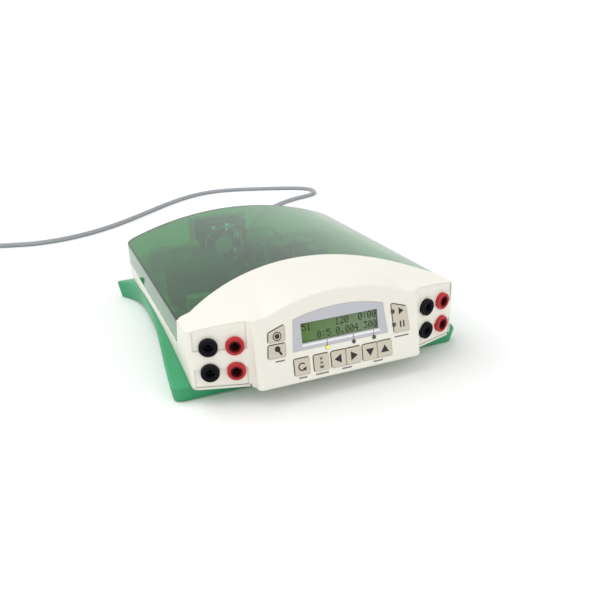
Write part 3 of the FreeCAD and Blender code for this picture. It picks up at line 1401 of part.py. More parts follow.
def main_board():
    """Main board, with a notch for the toroid."""
    corners = [(MAIN_LEFT_X, MAIN_FRONT_Y, 2), (MAIN_RIGHT_X, MAIN_FRONT_Y, 2),
               (MAIN_RIGHT_X, MAIN_BACK_Y, 2),
               (MAIN_NOTCH_X, MAIN_BACK_Y, 2), (MAIN_NOTCH_X, MAIN_NOTCH_Y, 3), (MAIN_LEFT_X, MAIN_NOTCH_Y,
                                                                                 2)]
    return slab(corners, BOARD_Z, BOARD_TOP_Z)


def board_standoffs():
    """Pillars moulded on the tub's floor under the main board."""
    edge = 2 * STANDOFF_R
    middle_y = (MAIN_FRONT_Y + MAIN_NOTCH_Y) / 2
    places = [(MAIN_LEFT_X + edge, MAIN_FRONT_Y + edge), (MAIN_RIGHT_X - edge, MAIN_FRONT_Y + edge),
              (MAIN_LEFT_X + edge, MAIN_NOTCH_Y - edge), (MAIN_RIGHT_X - edge, middle_y),
              (MAIN_NOTCH_X + edge, MAIN_BACK_Y - edge), (MAIN_RIGHT_X - edge, MAIN_BACK_Y - edge), (0,
                                                                                                     middle_y)]
    low = TUB_FLOOR_Z - WALL / 2
    return [rod(STANDOFF_R, BOARD_Z - low, (x, y, low)) for x, y in places]


def toroid_transformer():
    """Taped toroidal transformer that stands on the tub's floor."""
    ring = rod(TOROID_R, TOROID_HEIGHT).cut(rod(TOROID_HOLE_R, TOROID_HEIGHT + 2, (0, 0, -1)))
    outer = edges_where(ring,
                        lambda p: Vector(p.x, p.y,
                                         0).Length > TOROID_R - 0.1 and abs(p.z - TOROID_HEIGHT / 2) > 1)
    ring = ring.makeFillet(TOROID_EDGE_R, outer)
    ring.translate(Vector(TOROID_X, TOROID_Y, TUB_FLOOR_Z))
    return ring


def transformer_clamp():
    """Dished washer and bolt that hold the toroid down."""
    top = TUB_FLOOR_Z + TOROID_HEIGHT
    washer = rod(CLAMP_R, CLAMP_THICK, (TOROID_X, TOROID_Y, top))
    bolt = rod(CLAMP_BOLT_R, top - TUB_FLOOR_Z + CLAMP_THICK, (TOROID_X, TOROID_Y, TUB_FLOOR_Z))
    head = rod(CLAMP_HEAD_R, CLAMP_HEAD, (TOROID_X, TOROID_Y, top + CLAMP_THICK))
    return join([washer, bolt, head])


def bulk_capacitors():
    """Three reservoir capacitors."""
    cans = []
    for x, y in CAPACITORS:
        can = rod(CAPACITOR_R, CAPACITOR_HEIGHT, (x, y, BOARD_TOP_Z))
        cans.append(can.makeFillet(CAPACITOR_EDGE_R,
                                   edges_where(can, lambda p: p.z > BOARD_TOP_Z + CAPACITOR_HEIGHT - 0.1)))
    return group(cans)


def sink_plate(x, side):
    """X range of a heat sink's plate, whose fins stand on its outer side."""
    return sorted((x, x + side * SINK_BASE))


def heat_sinks():
    """Two finned heat sinks with their plates facing each other."""
    sinks = []
    for x, y, side in SINKS:
        span_y = (y, y + SINK_LENGTH)
        plate = box(sink_plate(x, side), span_y, (BOARD_TOP_Z, BOARD_TOP_Z + SINK_HEIGHT))
        fin_x = sorted((x, x - side * SINK_FIN_DEPTH))
        fins = []
        for i in range(SINK_FINS):
            z = BOARD_TOP_Z + SINK_FIN_PITCH / 2 + i * SINK_FIN_PITCH
            fins.append(box(fin_x, span_y, (z, z + SINK_FIN)))
        sinks.append(join([plate] + fins))
    return group(sinks)


def power_transistors():
    """Three power transistors on each heat sink, with leads to the board."""
    bodies = []
    for x, y, side in SINKS:
        face = x + side * SINK_BASE
        for i in range(TRANSISTORS):
            middle = y + SINK_LENGTH * (i + 0.5) / TRANSISTORS
            low = BOARD_TOP_Z + TRANSISTOR_RISE
            body = box(sorted((face, face + side * TRANSISTOR_THICK)),
                       (middle - TRANSISTOR_W / 2, middle + TRANSISTOR_W / 2), (low, low + TRANSISTOR_H))
            leads = []
            for step in (-1, 0, 1):
                y0 = middle + step * LEAD_PITCH
                inner = face + side * TRANSISTOR_THICK / 2
                leads.append(box(sorted((inner, inner + side * LEAD_W)), (y0 - LEAD_W / 2, y0 + LEAD_W / 2),
                                 (BOARD_TOP_Z, low + LEAD_W)))
            bodies.append(join([body] + leads))
    return group(bodies)


def output_chokes():
    """Drum chokes in the output lines."""
    drums = []
    for x, y in CHOKES:
        ends = [rod(CHOKE_R, CHOKE_END, (x, y, BOARD_TOP_Z)),
                rod(CHOKE_R, CHOKE_END, (x, y, BOARD_TOP_Z + CHOKE_HEIGHT - CHOKE_END))]
        drums.append(join(ends + [rod(CHOKE_WAIST_R, CHOKE_HEIGHT, (x, y, BOARD_TOP_Z))]))
    return group(drums)


def switching_transformer():
    """Ferrite transformer: a core round a wound bobbin."""
    x, y = FERRITE_PLACE
    half_w, half_d = FERRITE_W / 2, FERRITE_D / 2
    limb = FERRITE_LIMB
    top = BOARD_TOP_Z + FERRITE_FOOT + FERRITE_H
    low = BOARD_TOP_Z + FERRITE_FOOT
    core = box((x - half_w, x + half_w), (y - half_d, y + half_d), (low, top))
    window = box((x - half_w + limb, x + half_w - limb), (y - half_d - 1, y + half_d + 1),
                 (low + limb, top - limb))
    wound = slab(block(half_w - limb - SHELL_GAP, half_d + limb, limb, (x, y)), low + limb + SHELL_GAP,
                 top - limb - SHELL_GAP)
    foot = box((x - half_w / 2, x + half_w / 2), (y - half_d / 2, y + half_d / 2), (BOARD_TOP_Z, low))
    middle_limb = rod(limb, top - low - 2 * limb, (x, y, low + limb))
    core = core.cut(window).fuse([foot, middle_limb]).removeSplitter()
    return group([core, wound.cut(rod(limb + SHELL_GAP / 3, top - low, (x, y, low)))])


def film_capacitors():
    """Boxed film capacitors and the output relay."""
    return group(slab(block(w / 2, d / 2, FILM_CORNER_R, (x, y)), BOARD_TOP_Z, BOARD_TOP_Z + h) for x, y, w,
                 d, h in FILM_BOXES)


def place_of(placement, point):
    """Point of a frame as a vector in the object's frame."""
    return placement.multVec(Vector(*point))


def output_wires():
    """Eight wires from the sockets' tails to the main board, one solid each."""
    wires = []
    start = -SOCKET_LENGTH - CONTACT_TAIL
    for i, (name, placement, _) in enumerate(SOCKETS):
        tail = place_of(placement, (0, 0, start))
        back = place_of(placement, (0, 0, start - WIRE_RUN))
        landing = MAIN_FRONT_Y + WIRE_EDGE + (WIRE_STEP if "upper" in name else 0.0)
        x = max(min(back.x, MAIN_RIGHT_X - WIRE_EDGE), MAIN_LEFT_X + WIRE_EDGE)
        points = [tail, back, (x, landing, back.z), (x, landing, BOARD_TOP_Z)]
        wires.append(tube(bent_path(points, WIRE_BEND_R), WIRE_R))
    return wires


def rear_loom():
    """Thick wire loom along the rear wall, from the fan's frame to the floor's ledge."""
    start = FAN_X - FAN_SIZE / 2
    points = [(start, LOOM_Y, LOOM_Z), (LOOM_X, LOOM_Y, LOOM_Z),
              (LOOM_X, LOOM_Y, SHELL_BOTTOM_Z + FLOOR_THICK)]
    return tube(bent_path(points, LOOM_BEND_R), LOOM_R)


def fan_lead():
    """Thin lead from the fan to the main board."""
    y = PANEL_BACK_Y - PANEL_THICK - FAN_DEPTH + FAN_FLANGE / 2
    points = [(FAN_X + FAN_SIZE / 2, y, FAN_LEAD_Z), (FAN_LEAD_X, y, FAN_LEAD_Z),
              (FAN_LEAD_X + WIRE_RUN, MAIN_BACK_Y - WIRE_EDGE, FAN_LEAD_Z - WIRE_RUN),
              (FAN_LEAD_X + WIRE_RUN, MAIN_BACK_Y - WIRE_EDGE, BOARD_TOP_Z)]
    return tube(bent_path(points, WIRE_BEND_R), WIRE_R)


def hookup_wires():
    """The output wires and the fan's lead."""
    return group(output_wires() + [fan_lead()])


def ribbon_cable():
    """Flat ribbon from the keypad's board to the main board."""
    start = place_of(CONSOLE_FRAME, (0, RIBBON_V, -BOARD_DEPTH - BOARD_THICK))
    back = place_of(CONSOLE_FRAME, (0, RIBBON_V, -BOARD_DEPTH - BOARD_THICK - RIBBON_RUN))
    landing = MAIN_FRONT_Y + WIRE_EDGE
    points = [start, back, (0, landing, BOARD_TOP_Z + RIBBON_RISE), (0, landing, BOARD_TOP_Z)]
    edges = bent_path(points, RIBBON_BEND_R)
    up = Vector(0, -(back - start).z, (back - start).y).normalize()
    half, thin = RIBBON_W / 2, RIBBON_THICK / 2
    corners = [start + Vector(x, 0, 0) + up * t for x,
               t in ((-half, -thin), (half, -thin), (half, thin), (-half, thin))]
    ring = Part.makePolygon(corners + corners[:1])
    return Part.Wire(edges).makePipeShell([ring], True, False)


def base_screws():
    """Screws that hold the base to the lower shell, one solid each."""
    screws = []
    for x, y in screw_places():
        one = screw(CASE_SCREW_LENGTH)
        one.rotate(Vector(0, 0, 0), Vector(1, 0, 0), 180)
        one.translate(Vector(x, y, CASE_SEAT_Z))
        screws.append(one)
    return screws


def screws():
    """All the screws that show from outside."""
    return group(panel_screws() + base_screws())


def screw_places():
    """Centres of the case screws, in the base's side rails."""
    x = (TUB_HALF + BASE_WAIST_HALF) / 2
    return [(side * x, y) for side in (-1, 1) for y in CASE_SCREWS_Y]


# Mains lead: connector in the inlet, a run along the table, a coil of two layers and a plug

CORD_PITCH = 2 * CORD_R + COIL_GAP
CONNECTOR_FRONT_Y = PANEL_BACK_Y + INLET_FLANGE_T + CONNECTOR_SEAT
CORD_EXIT = Vector(INLET_X, CONNECTOR_FRONT_Y + CONNECTOR_LENGTH + RELIEF_LENGTH, INLET_Z)
PLUG_Z = CORD_R + CORD_PITCH


def cord_connector():
    """Connector plugged into the inlet, its nose round the pins."""
    seat = INLET_FLANGE_T + CONNECTOR_SEAT
    body = slab(block(CONNECTOR_W / 2, CONNECTOR_H / 2, CONNECTOR_CORNER_R), seat, seat + CONNECTOR_LENGTH)
    body = body.makeFillet(CONNECTOR_EDGE_R,
                           edges_where(body, lambda p: p.z > seat + CONNECTOR_LENGTH - 0.01))
    low = INLET_FLANGE_T - INLET_SOCKET_DEPTH + CONNECTOR_SEAT
    nose = slab(block(INLET_SOCKET_W / 2 - NOSE_FIT, INLET_SOCKET_H / 2 - NOSE_FIT,
                      INLET_CORNER_R - NOSE_FIT), low, seat)
    body = body.fuse(nose).removeSplitter()
    for x, y in pin_places():
        body = body.cut(box((x - PIN_W / 2 - NOSE_FIT, x + PIN_W / 2 + NOSE_FIT),
                            (y - PIN_H / 2 - NOSE_FIT, y + PIN_H / 2 + NOSE_FIT), (low - 1,
                                                                                   low + PIN_LENGTH + 1)))
    return put(body, INLET_FRAME)


def relief(start, way):
    """Tapered strain relief from its thick end."""
    return Part.makeCone(RELIEF_R, RELIEF_TIP_R, RELIEF_LENGTH, start, way)


def coil_state(turn):
    """Point on the coil's centre line after a number of turns, and the direction there."""
    half = COIL_TURNS / 2
    radius = COIL_R - CORD_PITCH * (half - abs(turn - half))
    rate = 0.0 if turn in (0.0, half, COIL_TURNS) else math.copysign(CORD_PITCH, turn - half)
    climb = min(1.0, max(0.0, (turn - half + COIL_CLIMB / 2) / COIL_CLIMB))
    height = CORD_R + CORD_PITCH * climb * climb * (3 - 2 * climb)
    lift = CORD_PITCH * 6 * climb * (1 - climb) / COIL_CLIMB
    angle = math.pi / 2 + 2 * math.pi * turn
    out = Vector(math.cos(angle), math.sin(angle), 0)
    round_way = Vector(-math.sin(angle), math.cos(angle), 0)
    point = Vector(COIL_CENTRE[0], COIL_CENTRE[1], height) + out * radius
    return point, (round_way * (2 * math.pi * radius) + out * rate + Vector(0, 0, lift)).normalize()


def coil_turns():
    """Where the coil's biarcs begin and end, in turns."""
    flat = (COIL_TURNS - COIL_CLIMB) / 2
    half = COIL_TURNS / 2
    first = [flat * i / COIL_STEPS for i in range(COIL_STEPS + 1)]
    return first + [half] + [COIL_TURNS - t for t in reversed(first)]


def coil_start():
    """Where the straight lead into the coil begins."""
    point, way = coil_state(0.0)
    return point - way * COIL_LEAD


def coil_edges():
    """The coil's centre line: a straight lead, biarcs through two layers and a straight tail."""
    turns = coil_turns()
    edges = [Part.makeLine(coil_start(), coil_state(0.0)[0])]
    for a, b in zip(turns, turns[1:]):
        edges += arc_pair(*coil_state(a), *coil_state(b))
    point, way = coil_state(COIL_TURNS)
    edges.append(Part.makeLine(point, point + way * COIL_TAIL))
    return edges


def least_gap(edges):
    """Smallest gap between stretches of the coil that lie a quarter turn or more apart."""
    points, run = [], 0.0
    for edge in edges:
        low, high = edge.ParameterRange
        count = max(2, int(edge.Length / 1.5))
        for i in range(count):
            points.append((run + edge.Length * i / count, edge.valueAt(low + (high - low) * i / count)))
        run += edge.Length
    apart = COIL_R * math.pi / 2
    gap = min(p.distanceToPoint(q) for i, (s, p) in enumerate(points) for t,
              q in points[:i] if abs(s - t) > apart)
    return gap - 2 * CORD_R


def cord_points():
    """The lead's route from the relief to the coil."""
    drop = [CORD_EXIT + Vector(*p) for p in CORD_DROP]
    table = [Vector(x, y, CORD_R) for x, y in CORD_ON_TABLE]
    return [CORD_EXIT] + drop + table + [coil_start()]


def plug_frame(reach):
    """Frame that looks along the tail, a reach beyond its end."""
    point, way = coil_state(COIL_TURNS)
    origin = point + way * (COIL_TAIL + reach)
    return frame(origin, (0, 0, 1), way.cross(Vector(0, 0, 1)))


def mains_plug():
    """Generic plug: a block that narrows towards the lead."""
    deep = PLUG_Z
    wide = slab(block(deep, PLUG_W / 2, PLUG_CORNER_R), PLUG_TAPER, PLUG_LENGTH)
    narrow = slab(block(deep * PLUG_NARROW, PLUG_W / 2 - PLUG_TAPER, PLUG_CORNER_R), 0, PLUG_TAPER + 1)
    plug = wide.fuse(narrow).removeSplitter()
    return put(plug.cut(group(plug_pin_rods())), plug_frame(RELIEF_LENGTH))


def plug_pin_rods():
    """The plug's three pins, sunk into its face."""
    low = PLUG_LENGTH - PLUG_PIN_LENGTH / 2
    high = PLUG_LENGTH + PLUG_PIN_LENGTH
    places = [(-PLUG_PIN_SPAN / 2, -PLUG_PIN_SPAN), (-PLUG_PIN_SPAN / 2, PLUG_PIN_SPAN), (PLUG_PIN_SPAN, 0)]
    return [rod(PLUG_PIN_R, high - low, (x, y, low)) for x, y in places]


def plug_pins():
    """Three round pins."""
    return group(put(pin, plug_frame(RELIEF_LENGTH)) for pin in plug_pin_rods())


def save_all():
    """Build and write every node."""
    for name in KEYS:
        save(name, put(key_solid(name), CONSOLE_FRAME))
    for name, placement, _ in SOCKETS:
        save(name, put(socket_shroud(), placement))
    save("socket_contacts", group(put(socket_contact(), placement) for _, placement, _ in SOCKETS))
    save("socket_nuts", group(put(socket_nut(), placement) for _, placement, _ in SOCKETS))
    for part in PLAIN_PARTS:
        save(part.__name__, part())
    save("cord_connector", cord_connector())
    save("cord_relief", relief(CORD_EXIT - Vector(0, RELIEF_LENGTH, 0), Vector(0, 1, 0)))
    lead = bent_path(cord_points(), note="mains cord")
    section = math.pi * CORD_R ** 2
    cord = tube(lead, CORD_R)
    print("cord volume over section times length %.4f" % (cord.Volume / section / sum(e.Length for e in lead)))
    save("mains_cord", cord)
    turns = coil_edges()
    coil = tube(turns, CORD_R)
    print("coil length %.1f" % sum(e.Length for e in turns), "least gap %.2f" % least_gap(turns))
    print("coil volume over section times length %.4f" % (coil.Volume / section / sum(e.Length for e in turns)))
    save("cord_coil", coil)
    end, way = coil_state(COIL_TURNS)
    save("plug_relief", relief(end + way * (COIL_TAIL + RELIEF_LENGTH), way * -1))
    save("mains_plug", mains_plug())
    save("plug_pins", plug_pins())


PLAIN_PARTS = (front_fascia, top_cover, lower_shell, base_frame, foot_pads, screws, display_bezel,
               display_window,
               lcd_module, indicator_lamps, keypad_board, key_switches, rear_panel, fan_frame, fan_rotor, mains_inlet,
               inlet_pins, fuse_holder, fuse_drawer, fuse_cartridges, power_switch, power_rocker, main_board,
               toroid_transformer, transformer_clamp, bulk_capacitors, heat_sinks, power_transistors, output_chokes,
               switching_transformer, film_capacitors, hookup_wires, rear_loom, ribbon_cable)

os.makedirs("parts", exist_ok=True)
save_all()
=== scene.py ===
"""Looks of a bench power supply for gel electrophoresis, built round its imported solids.

The case is white moulded plastic under a smoked green cover, on a green base.
Each sub-assembly is a class that dresses its own nodes and adds the pieces that only show.
Sizes in the classes are millimetres, and every finished mesh is in metres in the object's own frame.
"""

from __future__ import annotations

import logging
import math
from collections.abc import Callable, Sequence
from dataclasses import dataclass, field
from enum import Enum

import bmesh
import bpy
from mathutils import Matrix, Vector
from mathutils.geometry import convex_hull_2d

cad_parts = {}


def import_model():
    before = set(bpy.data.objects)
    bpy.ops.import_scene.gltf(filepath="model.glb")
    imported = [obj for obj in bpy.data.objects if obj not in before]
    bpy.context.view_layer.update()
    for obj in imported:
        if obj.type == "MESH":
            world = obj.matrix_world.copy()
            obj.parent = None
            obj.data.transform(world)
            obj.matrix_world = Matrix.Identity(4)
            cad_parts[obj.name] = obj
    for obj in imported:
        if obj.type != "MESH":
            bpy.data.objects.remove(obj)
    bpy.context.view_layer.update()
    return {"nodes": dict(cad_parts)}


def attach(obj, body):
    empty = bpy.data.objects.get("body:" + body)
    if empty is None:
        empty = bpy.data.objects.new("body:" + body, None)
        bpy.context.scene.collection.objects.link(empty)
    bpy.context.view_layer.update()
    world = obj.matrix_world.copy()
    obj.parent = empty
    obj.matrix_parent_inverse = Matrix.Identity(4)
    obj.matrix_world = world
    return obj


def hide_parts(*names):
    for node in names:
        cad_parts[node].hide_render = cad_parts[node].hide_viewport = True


LOG = logging.getLogger("supply")
MM = 0.001

Colour = tuple[float, float, float, float]
Point = tuple[float, float, float]
Spot = tuple[float, float]
Tree = bpy.types.NodeTree
Socket = bpy.types.NodeSocket

# Octaves of a cloudy pattern
NOISE_DETAIL = 3.0
WHITE = (1.0, 1.0, 1.0, 1.0)
# Blender's wave texture has one crest to this much over its scale
WAVE_SCALE = math.pi / 10


def linear(code: str, alpha: float = 1.0) -> Colour:
    """Turn an sRGB hex colour to linear light.

    Args:
        code: Six hex digits, with or without a leading sign.
        alpha: Opacity to go with it.

    Returns:
        Red, green, blue and alpha.
    """
    digits = code.lstrip("#")
    parts = [int(digits[i : i + 2], 16) / 255 for i in (0, 2, 4)]
    light = [p / 12.92 if p <= 0.04045 else ((p + 0.055) / 1.055) ** 2.4 for p in parts]
    return (light[0], light[1], light[2], alpha)


def add_node(
    tree: Tree, kind: str, inputs: dict[str | int, object] | None = None, **settings: object
) -> bpy.types.Node:
    """Add a shader node with its settings, values and links.

    Args:
        tree: Node tree that it goes into.
        kind: Blender's name for the node type.
        inputs: Value, or socket to link from, for each named or numbered input.
        **settings: Plain attributes of the node.

    Returns:
        The new node.
    """
    node = tree.nodes.new(kind)
    for name, value in settings.items():
        setattr(node, name, value)
    for key, value in (inputs or {}).items():
        if isinstance(value, Socket):
            tree.links.new(value, node.inputs[key])
        else:
            node.inputs[key].default_value = value
    return node


# Finishes


@dataclass(frozen=True)
class Finish:
    """A plain moulded surface: slow drift of tone, faint grain in the mould and gloss that varies with it."""

    name: str
    colour: str
    roughness: float = 0.4
    ior: float = 1.5
    metallic: float = 0.0
    drift: float = 0.05
    drift_mm: float = 45.0
    grain_mm: float = 1.6
    relief_mm: float = 0.008
    gloss_swing: float = 0.06

    def build(self) -> bpy.types.Material:
        """Make the material, or return it where it is already made."""
        made = bpy.data.materials.get(self.name)
        if made is not None:
            return made
        made = bpy.data.materials.new(self.name)
        made.use_nodes = True
        tree = made.node_tree
        tree.nodes.clear()
        place = add_node(tree, "ShaderNodeTexCoord").outputs["Object"]
        shader = add_node(tree, "ShaderNodeBsdfPrincipled", {"IOR": self.ior, "Metallic": self.metallic})
        for name, value in self.extras().items():
            shader.inputs[name].default_value = value
        tree.links.new(self.tone(tree, place), shader.inputs["Base Color"])
        height = self.height(tree, place)
        span = {"To Min": self.roughness - self.gloss_swing, "To Max": self.roughness + self.gloss_swing}
        gloss = add_node(tree, "ShaderNodeMapRange", {"Value": height, **span})
        tree.links.new(gloss.outputs[0], shader.inputs["Roughness"])
        relief = {"Height": height, "Distance": self.relief_mm * MM, **self.edges(tree)}
        tree.links.new(add_node(tree, "ShaderNodeBump", relief).outputs[0], shader.inputs["Normal"])
        add_node(tree, "ShaderNodeOutputMaterial", {"Surface": self.surface(tree, shader)})
        return made

    def extras(self) -> dict[str, object]:
        """Values of the shader that this kind of finish adds."""
        return {}

    def edges(self, tree: Tree) -> dict[str, object]:
        """Inputs that the relief starts from."""
        return {}

    def noise(self, tree: Tree, place: Socket, size_mm: float) -> Socket:
        """Cloudy pattern with features of a real size.

        Args:
            tree: Node tree that it goes into.
            place: Coordinates in metres.
            size_mm: Size of a feature.

        Returns:
            Socket that runs from 0 to 1.
        """
        inputs = {"Vector": place, "Scale": 1 / (size_mm * MM), "Detail": NOISE_DETAIL}
        return add_node(tree, "ShaderNodeTexNoise", inputs).outputs["Fac"]

    def mix(self, tree: Tree, share: Socket, low: Colour | Socket, high: Colour | Socket) -> Socket:
        """Blend two colours by a share.

        Args:
            tree: Node tree that it goes into.
            share: Socket from 0 to 1.
            low: Colour, or socket, at 0.
            high: Colour, or socket, at 1.

        Returns:
            The blended colour.
        """
        node = add_node(tree, "ShaderNodeMix", {"Factor": share, 6: low, 7: high}, data_type="RGBA")
        return node.outputs[2]

    def tone(self, tree: Tree, place: Socket) -> Socket:
        """Colour with a slow drift from its own tone to a slightly deeper one.

        Args:
            tree: Node tree that it goes into.
            place: Coordinates in metres.

        Returns:
            The colour.
        """
        base = linear(self.colour)
        deep = tuple(c * (1 - self.drift) for c in base[:3]) + (1.0,)
        return self.mix(tree, self.noise(tree, place, self.drift_mm), deep, base)

    def height(self, tree: Tree, place: Socket) -> Socket:
        """Grain that the mould left."""
        return self.noise(tree, place, self.grain_mm)

    def surface(self, tree: Tree, shader: bpy.types.Node) -> Socket:
        """Socket that goes to the output."""
        return shader.outputs[0]


@dataclass(frozen=True)
class Rounded(Finish):
    """A moulding whose corners catch the light as rounds, as the mould leaves them."""

    edge_mm: float = 2.6

    def edges(self, tree: Tree) -> dict[str, object]:
        """Shade each corner as a round."""
        round_off = add_node(tree, "ShaderNodeBevel", {"Radius": self.edge_mm * MM}, samples=6)
        return {"Normal": round_off.outputs[0]}


@dataclass(frozen=True)
class Graded(Finish):
    """One colour that turns into another along the X axis."""

    far: str = "FFFFFF"
    start_mm: float = -50.0
    end_mm: float = 50.0

    def tone(self, tree: Tree, place: Socket) -> Socket:
        """Blend by the place along X.

        Args:
            tree: Node tree that it goes into.
            place: Coordinates in metres.

        Returns:
            The colour.
        """
        along = add_node(tree, "ShaderNodeSeparateXYZ", {0: place}).outputs["X"]
        span = {"Value": along, "From Min": self.start_mm * MM, "From Max": self.end_mm * MM}
        share = add_node(tree, "ShaderNodeMapRange", span).outputs[0]
        return self.mix(tree, share, linear(self.colour), linear(self.far))


@dataclass(frozen=True)
class Clear(Finish):
    """A see-through wall, whose shadow is its own tint."""

    grain_mm: float = 30.0
    relief_mm: float = 0.02
    gloss_swing: float = 0.01
    shadow: str = "FFFFFF"

    def extras(self) -> dict[str, object]:
        """Light goes through it."""
        return {"Transmission Weight": 1.0}

    def surface(self, tree: Tree, shader: bpy.types.Node) -> Socket:
        """Let shadow rays through, tinted, so that what is behind the wall is lit.

        Args:
            tree: Node tree that it goes into.
            shader: The wall's own shader.

        Returns:
            What goes to the output.
        """
        path = add_node(tree, "ShaderNodeLightPath").outputs["Is Shadow Ray"]
        veil = add_node(tree, "ShaderNodeBsdfTransparent", {"Color": linear(self.shadow)}).outputs[0]
        return add_node(tree, "ShaderNodeMixShader", {0: path, 1: shader.outputs[0], 2: veil}).outputs[0]


@dataclass(frozen=True)
class Metal(Finish):
    """Bare or plated metal, with the fine grain that rolling or plating leaves."""

    roughness: float = 0.3
    metallic: float = 1.0
    grain_mm: float = 1.2


@dataclass(frozen=True)
class Banded(Finish):
    """Stripes of two colours across one axis, as in ribbon cable."""

    second: str = "FFFFFF"
    pitch_mm: float = 1.27
    axis: str = "X"
    share: float = 0.5

    def stripes(self, tree: Tree, place: Socket) -> Socket:
        """Wave with one crest to a pitch.

        Args:
            tree: Node tree that it goes into.
            place: Coordinates in metres.

        Returns:
            Socket that runs from 0 to 1.
        """
        inputs = {"Vector": place, "Scale": WAVE_SCALE / (self.pitch_mm * MM)}
        wave = add_node(tree, "ShaderNodeTexWave", inputs, bands_direction=self.axis, wave_profile="SIN")
        return wave.outputs["Fac"]

    def tone(self, tree: Tree, place: Socket) -> Socket:
        """The two colours by the wave."""
        sides = {0: self.stripes(tree, place), 1: self.share}
        step = add_node(tree, "ShaderNodeMath", sides, operation="GREATER_THAN")
        return self.mix(tree, step.outputs[0], linear(self.colour), linear(self.second))

    def height(self, tree: Tree, place: Socket) -> Socket:
        """The conductors stand up from the web."""
        return self.stripes(tree, place)


@dataclass(frozen=True)
class Printed(Finish):
    """A circuit board: solder mask over copper tracks that show as a lighter green."""

    track: str = "3E8A57"
    track_mm: float = 4.0
    track_share: float = 0.09

    def tone(self, tree: Tree, place: Socket) -> Socket:
        """Tracks as thin lines of a cell pattern.

        Args:
            tree: Node tree that it goes into.
            place: Coordinates in metres.

        Returns:
            The colour.
        """
        inputs = {"Vector": place, "Scale": 1 / (self.track_mm * MM)}
        cells = add_node(tree, "ShaderNodeTexVoronoi", inputs, feature="DISTANCE_TO_EDGE")
        sides = {0: cells.outputs["Distance"], 1: self.track_share}
        step = add_node(tree, "ShaderNodeMath", sides, operation="LESS_THAN")
        return self.mix(tree, step.outputs[0], linear(self.colour), linear(self.track))


@dataclass(frozen=True)
class Glowing(Finish):
    """A lit lamp."""

    strength: float = 0.6

    def extras(self) -> dict[str, object]:
        """Light of its own."""
        return {"Emission Color": linear(self.colour), "Emission Strength": self.strength}


